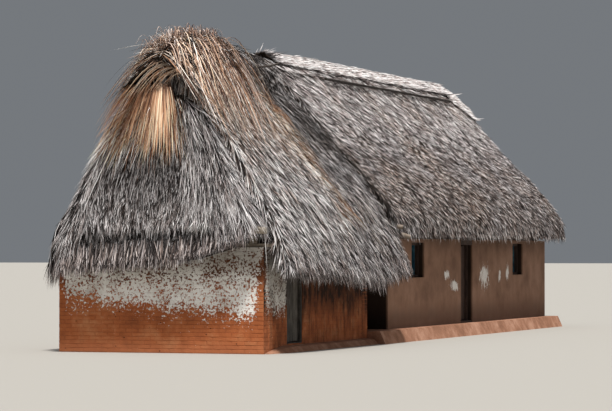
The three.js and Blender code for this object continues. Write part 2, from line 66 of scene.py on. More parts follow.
# Where the hut's own lines lie in the frame
RIDGE_X = sum(corner.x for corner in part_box("house_ridge_pole")) / 2
FRONT_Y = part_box("kitchen_front_wall")[0].y
ORIGIN = Vector((RIDGE_X, FRONT_Y, 0))
WALL_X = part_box("kitchen_front_wall")[1].x - RIDGE_X
KITCHEN_BACK_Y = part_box("kitchen_back_wall")[1].y - FRONT_Y
WALL_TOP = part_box("kitchen_front_wall")[1].z

MM = 0.001

# Settings that many nodes share
SMOOTHSTEP = {"interpolation_type": "SMOOTHSTEP"}
COLOURS = {"data_type": "RGBA"}
MULTIPLY = {"operation": "MULTIPLY"}
MULTIPLY_ADD = {"operation": "MULTIPLY_ADD"}


def hut_point(x, y, z):
    """A point given from the ridge line, the kitchen's front face and the ground, in frame coordinates."""
    return ORIGIN + Vector((x, y, z))


# Small tools


def linear(hex_colour):
    """An sRGB hex value such as "#a05030" as linear red, green, blue and alpha."""
    channels = [int(hex_colour[i:i + 2], 16) / 255 for i in (1, 3, 5)]
    return [c / 12.92 if c < 0.04045 else ((c + 0.055) / 1.055) ** 2.4 for c in channels] + [1.0]


def add_node(tree, kind, settings=None, inputs=None):
    """Adds one node with its properties, its colour stops if it has any, and its inputs."""
    node = tree.nodes.new(kind)
    for name, value in (settings or {}).items():
        if name == "stops":
            elements = node.color_ramp.elements
            while len(elements) < len(value):
                elements.new(0.5)
            for element, (place, colour) in zip(elements, value):
                element.position = place
                element.color = linear(colour)
        else:
            setattr(node, name, value)
    connect(tree, node, inputs or {})
    return node


def connect(tree, node, inputs):
    """Gives each named input of a node its value or its link. A node stands for its first live output."""
    for name, value in inputs.items():
        if isinstance(value, bpy.types.Node):
            value = next(socket for socket in value.outputs if socket.enabled)
        if isinstance(value, bpy.types.NodeSocket):
            tree.links.new(value, node.inputs[name])
        else:
            node.inputs[name].default_value = value


def smooth(low, high, values):
    """0 below low, 1 above high and an S-curve between them; the two may be given the other way round."""
    t = np.clip((values - low) / (high - low), 0, 1)
    return t * t * (3 - 2 * t)


def lumps(points, size, seed, octaves=2):
    """Smooth noise from about -1 to 1 at each point, in lumps of that size in metres."""
    shift = Vector((seed * 7.31, seed * 3.17, seed * 5.73))
    return np.array([noise.fractal(Vector(p) / size + shift, 1.0, 2.0, octaves) for p in points])


def coordinates(mesh):
    """A mesh's vertices as an array of points."""
    points = np.zeros(len(mesh.vertices) * 3)
    mesh.vertices.foreach_get("co", points)
    return points.reshape(-1, 3)


def vertex_normals(mesh):
    """A mesh's vertex normals as an array."""
    normals = np.zeros(len(mesh.vertices) * 3)
    mesh.vertex_normals.foreach_get("vector", normals)
    return normals.reshape(-1, 3)


def set_coordinates(mesh, points):
    """Moves a mesh's vertices to an array of points."""
    mesh.vertices.foreach_set("co", points.ravel())


def mesh_of(name, solid):
    """A new mesh from a bmesh, which is freed."""
    mesh = bpy.data.meshes.new(name)
    solid.to_mesh(mesh)
    solid.free()
    return mesh


def closed_mesh(name, points, faces):
    """A new mesh from points and faces, with all its faces turned outwards."""
    mesh = bpy.data.meshes.new(name)
    mesh.from_pydata([tuple(point) for point in points], [], faces)
    solid = bmesh.new()
    solid.from_mesh(mesh)
    bmesh.ops.recalc_face_normals(solid, faces=solid.faces)
    solid.to_mesh(mesh)
    solid.free()
    return mesh


def new_object(name, mesh, materials=()):
    """Links an object with that mesh at the frame's origin."""
    piece = bpy.data.objects.new(name, mesh)
    bpy.context.scene.collection.objects.link(piece)
    for material in materials:
        mesh.materials.append(material)
    return piece


def plain_mesh(piece):
    """The mesh of an object with its modifiers done; the object itself is removed."""
    graph = bpy.context.evaluated_depsgraph_get()
    mesh = bpy.data.meshes.new_from_object(
        piece.evaluated_get(graph), preserve_all_data_layers=True, depsgraph=graph
    )
    bpy.data.objects.remove(piece)
    return mesh


def shade(mesh, angle=35):
    """Smooth shading, with an edge where faces meet at more than the angle in degrees."""
    mesh.polygons.foreach_set("use_smooth", [True] * len(mesh.polygons))
    mesh.set_sharp_from_angle(angle=math.radians(angle))


def merged_copy(node):
    """A CAD solid's mesh with its loose triangles joined at their corners."""
    mesh = NODES[node].data.copy()
    mesh.materials.clear()
    solid = bmesh.new()
    solid.from_mesh(mesh)
    bmesh.ops.remove_doubles(solid, verts=solid.verts, dist=0.01 * MM)
    solid.to_mesh(mesh)
    solid.free()
    return mesh


def settle(piece, body="root", nodes=()):
    """Says what a finished piece rides on and hides the CAD nodes it stands for."""
    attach(piece, body)
    if nodes:
        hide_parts(*nodes)
    return piece


# Materials


def new_material(name):
    """A material's tree, its Principled shader and its Object coordinates."""
    material = bpy.data.materials.new(name)
    material.use_nodes = True
    tree = material.node_tree
    shader = tree.nodes["Principled BSDF"]
    place = add_node(tree, "ShaderNodeTexCoord").outputs["Object"]
    return material, tree, shader, place


def hut_axes(tree, place):
    """Coordinates from the ridge line, the kitchen's front face and the ground, whole and axis by axis."""
    own = add_node(tree, "ShaderNodeMapping", {}, {"Vector": place, "Location": -ORIGIN})
    return own, add_node(tree, "ShaderNodeSeparateXYZ", {}, {"Vector": own})


def palm_strand():
    """Dried palm leaf torn in strips, laid by hand: fresh straw-coloured strips bleach to silver grey, and
    smoke turns them brown-black. The eye sees pale strips of uneven tone over dark gaps. A strip's smoke and
    shade value darkens it with smoke stain and with painted shade; below zero it makes the strip paler, for
    leaf that sun and rain have washed paler still and as painted light on leaf that lies in shade."""
    material, tree, shader, _ = new_material("dried_palm_leaf_strips")
    facts = {
        name: add_node(tree, "ShaderNodeAttribute", {"attribute_name": name}).outputs["Fac"]
        for name in ("tone", "along", "across", "age", "soot")
    }
    fresh = add_node(tree, "ShaderNodeValToRGB", {"stops": [
        (0.0, "#22160f"), (0.3, "#78503a"), (0.5, "#c69874"), (0.72, "#f3cfae"), (1.0, "#fff3e4"),
    ]}, {"Fac": facts["tone"]})
    bleached = add_node(tree, "ShaderNodeValToRGB", {"stops": [
        (0.0, "#151112"), (0.3, "#4e4442"), (0.5, "#978c8a"), (0.72, "#dcd1d0"), (1.0, "#fffafa"),
    ]}, {"Fac": facts["tone"]})
    leaf = add_node(tree, "ShaderNodeMix", COLOURS, {0: facts["age"], 6: fresh, 7: bleached})
    spared = add_node(tree, "ShaderNodeMapRange", {}, {
        "Value": facts["tone"], "From Min": 0.0, "From Max": 1.0, "To Min": 1.35, "To Max": 0.7,
    })
    # Smoke stain and painted shade, less on the palest strips
    smoke = add_node(tree, "ShaderNodeMath", {"operation": "MULTIPLY", "use_clamp": True}, {
        0: facts["soot"], 1: spared,
    })
    smoked = add_node(tree, "ShaderNodeMix", COLOURS, {0: smoke, 6: leaf, 7: linear("#2b2320")})
    # Painted shade: each strip darkens towards its root, where the strips laid over it shade it
    tip = add_node(tree, "ShaderNodeMapRange", SMOOTHSTEP, {
        "Value": facts["along"], "From Min": 0.0, "From Max": 0.7, "To Min": 0.1, "To Max": 1.0,
    })
    # Below zero the value makes a strip paler: sun-bleached leaf, and painted light on leaf that lies in
    # shade
    washed = add_node(tree, "ShaderNodeMapRange", {}, {
        "Value": facts["soot"], "From Min": -1.0, "From Max": 0.0, "To Min": 2.0, "To Max": 1.0,
    })
    lengthwise = add_node(tree, "ShaderNodeCombineXYZ", {}, {
        "X": facts["across"], "Y": facts["tone"], "Z": facts["along"],
    })
    fibres = add_node(tree, "ShaderNodeMapping", {}, {"Vector": lengthwise, "Scale": (5.0, 60.0, 1.5)})
    fibre = add_node(tree, "ShaderNodeTexNoise", {}, {
        "Vector": fibres, "Scale": 1.0, "Detail": 2.0, "Roughness": 0.6,
    })
    weather = add_node(tree, "ShaderNodeMapRange", {}, {
        "Value": fibre, "From Min": 0.3, "From Max": 0.7, "To Min": 0.6, "To Max": 1.25,
    })
    depth = add_node(tree, "ShaderNodeMath", MULTIPLY, {0: tip, 1: weather})
    bright = add_node(tree, "ShaderNodeMath", MULTIPLY, {0: depth, 1: washed})
    colour = add_node(tree, "ShaderNodeVectorMath", {"operation": "SCALE"}, {0: smoked, "Scale": bright})
    held = add_node(tree, "ShaderNodeVectorMath", {"operation": "MINIMUM"}, {0: colour, 1: (0.92, 0.9, 0.88)})
    connect(tree, shader, {"Base Color": held, "Roughness": 0.7, "Specular IOR Level": 0.3})
    return material


def packed_thatch():
    """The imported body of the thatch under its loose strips: old leaf pressed into a dark felt. It shows as
    the shadow between strips and as the underside of the roof."""
    material, tree, shader, place = new_material("packed_palm_thatch")
    soot = add_node(tree, "ShaderNodeAttribute", {"attribute_name": "soot"}).outputs["Fac"]
    drawn = add_node(tree, "ShaderNodeMapping", {}, {"Vector": place, "Scale": (1.0, 1.0, 0.22)})
    fibre = add_node(tree, "ShaderNodeTexNoise", {}, {
        "Vector": drawn, "Scale": 1 / (25 * MM), "Detail": 4.0, "Roughness": 0.7,
    })
    felt = add_node(tree, "ShaderNodeValToRGB", {"stops": [
        (0.3, "#130f0d"), (0.5, "#2a221c"), (0.72, "#51443a"),
    ]}, {"Fac": fibre})
    # The shell's smoke and shade value darkens the felt with smoke stain and painted shade
    dark = add_node(tree, "ShaderNodeMix", COLOURS, {0: soot, 6: felt, 7: linear("#15110f")})
    rise = add_node(tree, "ShaderNodeBump", {}, {"Height": fibre, "Strength": 0.9, "Distance": 15 * MM})
    connect(tree, shader, {"Base Color": dark, "Normal": rise, "Roughness": 0.95, "Specular IOR Level": 0.15})
    return material


def earth_brick(name, brick_stops, wash):
    """Hand-moulded red earth brick, low fired, or the clay joint between the bricks. Colour drifts over the
    wall and from brick to brick, rain has rounded and pitted it, and old limewash clings where wash says: the
    axis it runs along, its lower edge, the edge's slope, how far it fades, where it stops at either end, the
    heights between which painted eave shade darkens the clay, the heights between which stain and painted
    eave shade grey the lime, and how dirty the wall is."""
    material, tree, shader, place = new_material(name)
    tone = add_node(tree, "ShaderNodeAttribute", {"attribute_name": "tone"}).outputs["Fac"]
    drift = add_node(tree, "ShaderNodeTexNoise", {}, {
        "Vector": place, "Scale": 1 / (450 * MM), "Detail": 5.0, "Roughness": 0.6,
    })
    grit = add_node(tree, "ShaderNodeTexNoise", {}, {
        "Vector": place, "Scale": 1 / (18 * MM), "Detail": 3.0, "Roughness": 0.75,
    })
    mixed = add_node(tree, "ShaderNodeMath", MULTIPLY_ADD, {0: tone, 1: 0.06, 2: drift})
    mixed = add_node(tree, "ShaderNodeMath", MULTIPLY_ADD, {0: grit, 1: 0.3, 2: mixed})
    level = add_node(tree, "ShaderNodeMath", {"operation": "SUBTRACT"}, {0: mixed, 1: 0.17})
    clay = add_node(tree, "ShaderNodeValToRGB", {"stops": brick_stops}, {"Fac": level})
    _, axes = hut_axes(tree, place)
    damp = add_node(tree, "ShaderNodeMapRange", SMOOTHSTEP, {
        "Value": axes.outputs["Z"], "From Min": 0.0, "From Max": 0.35, "To Min": 0.55, "To Max": 0.0,
    })
    based = add_node(tree, "ShaderNodeMix", COLOURS, {0: damp, 6: clay, 7: linear("#b5714d")})
    # Painted shade under the eaves: the clay darkens between the wash's shade heights
    painted_eave_shade = add_node(tree, "ShaderNodeMapRange", SMOOTHSTEP, {
        "Value": axes.outputs["Z"], "From Min": wash["shade"][0], "From Max": wash["shade"][1],
        "To Min": 0.0, "To Max": 0.75,
    })
    hanging = add_node(tree, "ShaderNodeMapping", {}, {"Vector": place, "Scale": (1.0, 1.0, 0.3)})
    runs = add_node(tree, "ShaderNodeTexNoise", {}, {
        "Vector": hanging, "Scale": 1 / (150 * MM), "Detail": 5.0, "Roughness": 0.65,
    })
    dirt = add_node(tree, "ShaderNodeMapRange", {}, {
        "Value": runs, "From Min": 0.42, "From Max": 0.68, "To Min": 0.0, "To Max": wash["dirt"],
    })
    dirt_and_eave_shade = add_node(tree, "ShaderNodeMath", {"operation": "ADD", "use_clamp": True}, {0: painted_eave_shade, 1: dirt})
    # Dirt streaks and painted eave shade darken the clay
    smoked = add_node(tree, "ShaderNodeMix", COLOURS, {0: dirt_and_eave_shade, 6: based, 7: linear("#2c1c13")})
    colour, height = lime_over(tree, place, axes, smoked, grit, wash)
    # The pits are painted dark, as the shade inside them
    pit = add_node(tree, "ShaderNodeTexVoronoi", {}, {
        "Vector": place, "Scale": 1 / (95 * MM), "Randomness": 1.0,
    })
    hole = add_node(tree, "ShaderNodeMapRange", SMOOTHSTEP, {
        "Value": pit, "From Min": 0.07, "From Max": 0.13, "To Min": 1.0, "To Max": 0.0,
    })
    lot = add_node(tree, "ShaderNodeSeparateColor", {}, {"Color": pit.outputs["Color"]})
    rare = add_node(tree, "ShaderNodeMath", {"operation": "GREATER_THAN"}, {0: lot.outputs["Red"], 1: 0.62})
    pitted = add_node(tree, "ShaderNodeMath", MULTIPLY, {0: hole, 1: rare})
    done = add_node(tree, "ShaderNodeMix", COLOURS, {0: pitted, 6: colour, 7: linear("#3a2015")})
    rise = add_node(tree, "ShaderNodeBump", {}, {"Height": height, "Strength": 0.7, "Distance": 4 * MM})
    sunk = add_node(tree, "ShaderNodeBump", {"invert": True}, {
        "Height": pitted, "Strength": 1.0, "Distance": 12 * MM, "Normal": rise,
    })
    connect(tree, shader, {"Base Color": done, "Normal": sunk, "Roughness": 0.92, "Specular IOR Level": 0.2})
    return material


def lime_over(tree, place, axes, colour, grit, wash):
    """Limewash over a wall colour: solid high up, broken into flecks at its lower edge, greyed towards the
    eaves by stain and by painted eave shade. Gives back the colour and the height of the surface."""
    flecks = add_node(tree, "ShaderNodeTexNoise", {}, {
        "Vector": place, "Scale": 1 / (36 * MM), "Detail": 3.0, "Roughness": 0.68,
    })
    patches = add_node(tree, "ShaderNodeTexNoise", {}, {
        "Vector": place, "Scale": 1 / (420 * MM), "Detail": 3.0, "Roughness": 0.6,
    })
    run = axes.outputs[wash["axis"]]
    narrowing = add_node(tree, "ShaderNodeMath", MULTIPLY_ADD, {0: axes.outputs["Z"], 1: -0.1, 2: run})
    to_end = add_node(tree, "ShaderNodeMath", {"operation": "ADD"}, {0: narrowing, 1: 0.15})
    level = add_node(tree, "ShaderNodeMath", MULTIPLY_ADD, {0: run, 1: wash["slope"], 2: axes.outputs["Z"]})
    rising = add_node(tree, "ShaderNodeMapRange", {}, {
        "Value": level, "From Min": wash["edge"], "From Max": wash["edge"] + wash["fade"],
        "To Min": -0.47, "To Max": 0.06,
    })
    inward = add_node(tree, "ShaderNodeMapRange", {}, {
        "Value": run, "From Min": wash["start"], "From Max": wash["start"] + 0.18,
        "To Min": -0.5, "To Max": 0.0,
    })
    outward = add_node(tree, "ShaderNodeMapRange", {}, {
        "Value": to_end, "From Min": wash["stop"] - 0.18, "From Max": wash["stop"],
        "To Min": 0.0, "To Max": -0.5,
    })
    total = rising
    for part, share in ((inward, 1.0), (outward, 1.0), (flecks, 1.7), (patches, 0.5)):
        total = add_node(tree, "ShaderNodeMath", MULTIPLY_ADD, {0: part, 1: share, 2: total})
    held = add_node(tree, "ShaderNodeMapRange", SMOOTHSTEP, {
        "Value": total, "From Min": 1.05, "From Max": 1.1, "To Min": 0.0, "To Max": 1.0,
    })
    # Stain and painted eave shade grey the lime towards the eaves
    stain_and_shade = add_node(tree, "ShaderNodeMapRange", SMOOTHSTEP, {
        "Value": axes.outputs["Z"], "From Min": wash["stain_and_shade"][0], "From Max": wash["stain_and_shade"][1],
        "To Min": 0.0, "To Max": 0.65,
    })
    lime = add_node(tree, "ShaderNodeValToRGB", {"stops": [
        (0.3, "#cbc4bb"), (0.48, "#e8e3dc"), (0.62, "#f6f2ec"),
    ]}, {"Fac": patches})
    lime = add_node(tree, "ShaderNodeMix", COLOURS, {0: stain_and_shade, 6: lime, 7: linear("#7d756a")})
    covered = add_node(tree, "ShaderNodeMix", COLOURS, {0: held, 6: colour, 7: lime})
    height = add_node(tree, "ShaderNodeMath", MULTIPLY_ADD, {0: held, 1: 0.8, 2: grit})
    return covered, height


def earth_plaster():
    """Clay and sand render rubbed smooth by hand: tan brown, greyer and darker where rain splashes the foot,
    with faint trowel drift and chalky rubbed patches beside the door. Painted shade darkens it towards the
    eaves and inside the reveals of the openings, and the long wall grows darker towards its far end."""
    material, tree, shader, place = new_material("clay_sand_plaster")
    own, axes = hut_axes(tree, place)
    drift = add_node(tree, "ShaderNodeTexNoise", {}, {
        "Vector": place, "Scale": 1 / (700 * MM), "Detail": 6.0, "Roughness": 0.6,
    })
    sand = add_node(tree, "ShaderNodeTexNoise", {}, {
        "Vector": place, "Scale": 1 / (12 * MM), "Detail": 3.0, "Roughness": 0.8,
    })
    clay = add_node(tree, "ShaderNodeValToRGB", {"stops": [
        (0.32, "#7b5c4a"), (0.5, "#93705b"), (0.66, "#a37f6a"),
    ]}, {"Fac": drift})
    runs = add_node(tree, "ShaderNodeMapping", {}, {"Vector": place, "Scale": (1.0, 1.0, 0.3)})
    streaks = add_node(tree, "ShaderNodeTexNoise", {}, {
        "Vector": runs, "Scale": 1 / (170 * MM), "Detail": 3.0, "Roughness": 0.55,
    })
    streaks_and_shade = add_node(tree, "ShaderNodeMapRange", {}, {
        "Value": streaks, "From Min": 0.35, "From Max": 0.65, "To Min": 0.95, "To Max": 1.03,
    })
    foot = add_node(tree, "ShaderNodeMath", MULTIPLY_ADD, {0: drift, 1: -0.7, 2: axes.outputs["Z"]})
    splash = add_node(tree, "ShaderNodeMapRange", SMOOTHSTEP, {
        "Value": foot, "From Min": 0.0, "From Max": 0.45, "To Min": 0.7, "To Max": 0.0,
    })
    footed = add_node(tree, "ShaderNodeMix", COLOURS, {0: splash, 6: clay, 7: linear("#5f4a3d")})
    upright = add_node(tree, "ShaderNodeMapping", {}, {"Vector": place, "Scale": (1.0, 1.0, 0.35)})
    chalk = add_node(tree, "ShaderNodeTexNoise", {}, {
        "Vector": upright, "Scale": 1 / (60 * MM), "Detail": 4.0, "Roughness": 0.7,
    })
    away = FAR_OFF
    for middle, reach in CHALK_PATCHES:
        offset = add_node(tree, "ShaderNodeVectorMath", {"operation": "SUBTRACT"}, {
            0: own, 1: (WALL_X, *middle),
        })
        scaled = add_node(tree, "ShaderNodeVectorMath", {"operation": "DIVIDE"}, {
            0: offset, 1: (1.0, *reach),
        })
        length = add_node(tree, "ShaderNodeVectorMath", {"operation": "LENGTH"}, {0: scaled})
        away = add_node(tree, "ShaderNodeMath", {"operation": "MINIMUM"}, {0: length, 1: away})
    ragged = add_node(tree, "ShaderNodeMath", MULTIPLY_ADD, {0: chalk, 1: -4.0, 2: away})
    rubbed = add_node(tree, "ShaderNodeMapRange", SMOOTHSTEP, {
        "Value": ragged, "From Min": -1.35, "From Max": -1.2, "To Min": 0.9, "To Max": 0.0,
    })
    rub = add_node(tree, "ShaderNodeMix", COLOURS, {0: rubbed, 6: footed, 7: linear("#f4efe9")})
    # Painted shade: darker towards the eaves
    eave = add_node(tree, "ShaderNodeMapRange", SMOOTHSTEP, {
        "Value": axes.outputs["Z"], "From Min": 1.6, "From Max": 2.1, "To Min": 1.0, "To Max": 0.6,
    })
    # Painted shade: darker inside the reveals of the openings
    inside = add_node(tree, "ShaderNodeMapRange", SMOOTHSTEP, {
        "Value": axes.outputs["X"], "From Min": WALL_X - 0.05, "From Max": WALL_X - 0.01,
        "To Min": 0.12, "To Max": 1.0,
    })
    house_side = add_node(tree, "ShaderNodeMath", {"operation": "LESS_THAN"}, {0: axes.outputs["Y"], 1: 7.0})
    lit = add_node(tree, "ShaderNodeMath", {"operation": "MAXIMUM"}, {0: inside, 1: house_side})
    # Darker towards the far end of the long wall
    weathered = add_node(tree, "ShaderNodeMapRange", {}, {
        "Value": axes.outputs["Y"], "From Min": 7.0, "From Max": 17.0, "To Min": 1.04, "To Max": 0.84,
    })
    for part in (eave, lit, weathered):
        streaks_and_shade = add_node(tree, "ShaderNodeMath", MULTIPLY, {0: streaks_and_shade, 1: part})
    colour = add_node(tree, "ShaderNodeVectorMath", {"operation": "SCALE"}, {0: rub, "Scale": streaks_and_shade})
    rise = add_node(tree, "ShaderNodeBump", {}, {"Height": sand, "Strength": 0.5, "Distance": 3 * MM})
    waves = add_node(tree, "ShaderNodeBump", {}, {
        "Height": drift, "Strength": 0.5, "Distance": 30 * MM, "Normal": rise,
    })
    connect(tree, shader, {
        "Base Color": colour, "Normal": waves, "Roughness": 0.93, "Specular IOR Level": 0.2,
    })
    return material


def rammed_earth():
    """Red earth rammed underfoot: the floors, the plinth and the ledge. Dusty, pale where it is trodden, with
    small stones and crumbs at the edges."""
    material, tree, shader, place = new_material("rammed_red_earth")
    drift = add_node(tree, "ShaderNodeTexNoise", {}, {
        "Vector": place, "Scale": 1 / (380 * MM), "Detail": 6.0, "Roughness": 0.62,
    })
    crumbs = add_node(tree, "ShaderNodeTexNoise", {}, {
        "Vector": place, "Scale": 1 / (28 * MM), "Detail": 5.0, "Roughness": 0.75,
    })
    earth = add_node(tree, "ShaderNodeValToRGB", {"stops": [
        (0.3, "#7a5541"), (0.5, "#9a6f58"), (0.68, "#b48a73"),
    ]}, {"Fac": drift})
    dust = add_node(tree, "ShaderNodeMapRange", {}, {
        "Value": crumbs, "From Min": 0.3, "From Max": 0.7, "To Min": 0.78, "To Max": 1.12,
    })
    colour = add_node(tree, "ShaderNodeVectorMath", {"operation": "SCALE"}, {0: earth, "Scale": dust})
    rise = add_node(tree, "ShaderNodeBump", {}, {"Height": crumbs, "Strength": 0.8, "Distance": 8 * MM})
    connect(tree, shader, {
        "Base Color": colour, "Normal": rise, "Roughness": 0.96, "Specular IOR Level": 0.15,
    })
    return material


def weathered_wood(name, stops, grain_axis, grain_mm=9, crack=0.5):
    """Timber left bare in sun and rain: grain stretched along the piece, open cracks, tone that changes from
    board to board. The stops give its own colours from crack to raised grain."""
    material, tree, shader, place = new_material(name)
    tone = add_node(tree, "ShaderNodeAttribute", {"attribute_name": "tone"}).outputs["Fac"]
    stretch = [1.0, 1.0, 1.0]
    stretch["XYZ".index(grain_axis)] = 0.045
    shift = add_node(tree, "ShaderNodeCombineXYZ", {}, {"X": tone, "Y": tone, "Z": tone})
    moved = add_node(tree, "ShaderNodeVectorMath", MULTIPLY_ADD, {0: shift, 1: (3.0, 3.0, 3.0), 2: place})
    along = add_node(tree, "ShaderNodeMapping", {}, {"Vector": moved, "Scale": stretch})
    grain = add_node(tree, "ShaderNodeTexNoise", {}, {
        "Vector": along, "Scale": 1 / (grain_mm * MM), "Detail": 5.0, "Roughness": 0.65,
        "Distortion": 0.3,
    })
    broad = add_node(tree, "ShaderNodeTexNoise", {}, {
        "Vector": moved, "Scale": 1 / (260 * MM), "Detail": 4.0, "Roughness": 0.6,
    })
    mixed = add_node(tree, "ShaderNodeMath", MULTIPLY_ADD, {0: broad, 1: 0.45, 2: grain})
    board = add_node(tree, "ShaderNodeMath", MULTIPLY_ADD, {0: tone, 1: 0.2, 2: mixed})
    level = add_node(tree, "ShaderNodeMath", {"operation": "SUBTRACT"}, {0: board, 1: 0.32})
    colour = add_node(tree, "ShaderNodeValToRGB", {"stops": stops}, {"Fac": level})
    rise = add_node(tree, "ShaderNodeBump", {}, {"Height": grain, "Strength": crack, "Distance": 3 * MM})
    connect(tree, shader, {
        "Base Color": colour, "Normal": rise, "Roughness": 0.82, "Specular IOR Level": 0.3,
    })
    return material


def shutter_paint():
    """Blue-green oil paint on boards, brushed on long ago: chalky, with bare grey wood where it has flaked
    along the grain."""
    material, tree, shader, place = new_material("flaking_oil_paint_on_boards")
    tone = add_node(tree, "ShaderNodeAttribute", {"attribute_name": "tone"}).outputs["Fac"]
    upright = add_node(tree, "ShaderNodeMapping", {}, {"Vector": place, "Scale": (1.0, 1.0, 0.07)})
    grain = add_node(tree, "ShaderNodeTexNoise", {}, {
        "Vector": upright, "Scale": 1 / (12 * MM), "Detail": 5.0, "Roughness": 0.7,
    })
    chalk = add_node(tree, "ShaderNodeTexNoise", {}, {
        "Vector": place, "Scale": 1 / (160 * MM), "Detail": 4.0, "Roughness": 0.6,
    })
    paint = add_node(tree, "ShaderNodeValToRGB", {"stops": [
        (0.3, "#173a48"), (0.5, "#24566a"), (0.7, "#4a8090"),
    ]}, {"Fac": add_node(tree, "ShaderNodeMath", MULTIPLY_ADD, {
        0: tone, 1: 0.12, 2: chalk,
    })})
    worn = add_node(tree, "ShaderNodeMapRange", SMOOTHSTEP, {
        "Value": add_node(tree, "ShaderNodeMath", MULTIPLY_ADD, {
            0: chalk, 1: 0.6, 2: grain,
        }),
        "From Min": 0.9, "From Max": 0.98, "To Min": 0.0, "To Max": 1.0,
    })
    colour = add_node(tree, "ShaderNodeMix", COLOURS, {0: worn, 6: paint, 7: linear("#7c7064")})
    rough = add_node(tree, "ShaderNodeMapRange", {}, {
        "Value": worn, "From Min": 0.0, "From Max": 1.0, "To Min": 0.5, "To Max": 0.85,
    })
    rise = add_node(tree, "ShaderNodeBump", {}, {"Height": grain, "Strength": 0.4, "Distance": 2 * MM})
    connect(tree, shader, {"Base Color": colour, "Normal": rise, "Roughness": rough})
    return material


def forged_iron():
    """Wrought nails, rusted brown all over."""
    material, tree, shader, place = new_material("rusted_wrought_iron")
    scale = add_node(tree, "ShaderNodeTexNoise", {}, {"Vector": place, "Scale": 1 / (10 * MM), "Detail": 4.0})
    rust = add_node(tree, "ShaderNodeValToRGB", {"stops": [
        (0.35, "#2c2320"), (0.55, "#55382a"), (0.7, "#7d4d31"),
    ]}, {"Fac": scale})
    connect(tree, shader, {"Base Color": rust, "Metallic": 0.35, "Roughness": 0.75})
    return material


STRAND = palm_strand()
PACKED = packed_thatch()
RED_CLAY = [(0.3, "#90502f"), (0.52, "#ad6239"), (0.75, "#c28359")]
JOINT_CLAY = [(0.3, "#8a4d30"), (0.52, "#a65e39"), (0.75, "#bb7b52")]
FRONT_WASH = {
    "axis": "X", "edge": 0.4, "slope": 0.08, "fade": 0.55, "start": -1.97, "stop": 2.0,
    "shade": (1.0, 1.45), "stain_and_shade": (1.25, 1.7), "dirt": 0.12,
}
SIDE_WASH = {
    "axis": "Y", "edge": 0.4, "slope": -0.05, "fade": 0.45, "start": -0.05, "stop": 1.3,
    "shade": (0.35, 1.1), "stain_and_shade": (0.45, 1.5), "dirt": 0.6,
}
PLAIN_WASH = {
    "axis": "Y", "edge": 1.2, "slope": 0.03, "fade": 0.5, "start": 0.3, "stop": 5.3,
    "shade": (1.0, 1.45), "stain_and_shade": (1.25, 1.7), "dirt": 0.3,
}
POLE_WOOD = weathered_wood(
    "barked_round_pole", [(0.2, "#2e2520"), (0.45, "#6a5c50"), (0.7, "#978a7d")], "Y")
RAFTER_WOOD = weathered_wood(
    "smoked_round_pole", [(0.2, "#1b1512"), (0.45, "#41342b"), (0.7, "#66564a")], "Z")
BATTEN_WOOD = weathered_wood(
    "smoke_dark_batten", [(0.2, "#15110f"), (0.45, "#2e2723"), (0.7, "#4d443d")], "Y")
BEAM_WOOD = weathered_wood(
    "hewn_beam", [(0.2, "#4b4238"), (0.45, "#857a6c"), (0.7, "#b5aa9b")], "X", 14)
DOOR_WOOD = weathered_wood(
    "weathered_plank", [(0.15, "#14110f"), (0.42, "#423d38"), (0.7, "#787168")], "Z", 11, 0.8)
DARK_WOOD = weathered_wood(
    "weathered_dark_plank", [(0.15, "#15100e"), (0.42, "#3b2c25"), (0.7, "#614a3d")], "Z", 11, 0.8)
# A distance beyond every chalky patch, in patch sizes
FAR_OFF = 9.0
# Middles (Y, Z) and half sizes of the chalky patches on the house's long wall
CHALK_PATCHES = (
    ((11.04, 1.28), (0.2, 0.1)), ((11.62, 1.06), (0.32, 0.12)), ((13.95, 1.22), (0.38, 0.26)),
    ((15.2, 1.23), (0.12, 0.15)), ((15.82, 1.3), (0.14, 0.2)),
)
PLASTER = earth_plaster()
EARTH = rammed_earth()
PAINT = shutter_paint()
IRON = forged_iron()


# Thatch: a lumpy packed shell for each CAD solid, and loose strips laid over it


def new_tree(name, inputs):
    """A Geometry Nodes tree and its named inputs, given as name to socket type and default value."""
    tree = bpy.data.node_groups.new(name, "GeometryNodeTree")
    tree.interface.new_socket("Geometry", in_out="INPUT", socket_type="NodeSocketGeometry")
    for label, (kind, value) in inputs.items():
        tree.interface.new_socket(label, in_out="INPUT", socket_type=kind).default_value = value
    tree.interface.new_socket("Geometry", in_out="OUTPUT", socket_type="NodeSocketGeometry")
    tree.nodes.new("NodeGroupOutput").name = "Group Output"
    return tree, tree.nodes.new("NodeGroupInput").outputs


def end_tree(tree, instances, material):
    """Ends a tree: its instances made real and given their material."""
    real = add_node(tree, "GeometryNodeRealizeInstances", {}, {"Geometry": instances})
    finished = add_node(tree, "GeometryNodeSetMaterial", {}, {"Geometry": real, "Material": material})
    connect(tree, tree.nodes["Group Output"], {"Geometry": finished})


def grown(name, mesh, tree, values, material):
    """Runs a tree on a mesh with those input values and returns the result as a plain mesh."""
    piece = new_object(name, mesh)
    modifier = piece.modifiers.new("grow", "NODES")
    modifier.node_group = tree
    for item in tree.interface.items_tree:
        if item.in_out == "INPUT" and item.name in values:
            modifier[item.identifier] = values[item.name]
        if item.in_out == "INPUT" and item.name == "Material":
            modifier[item.identifier] = material
    return plain_mesh(piece)


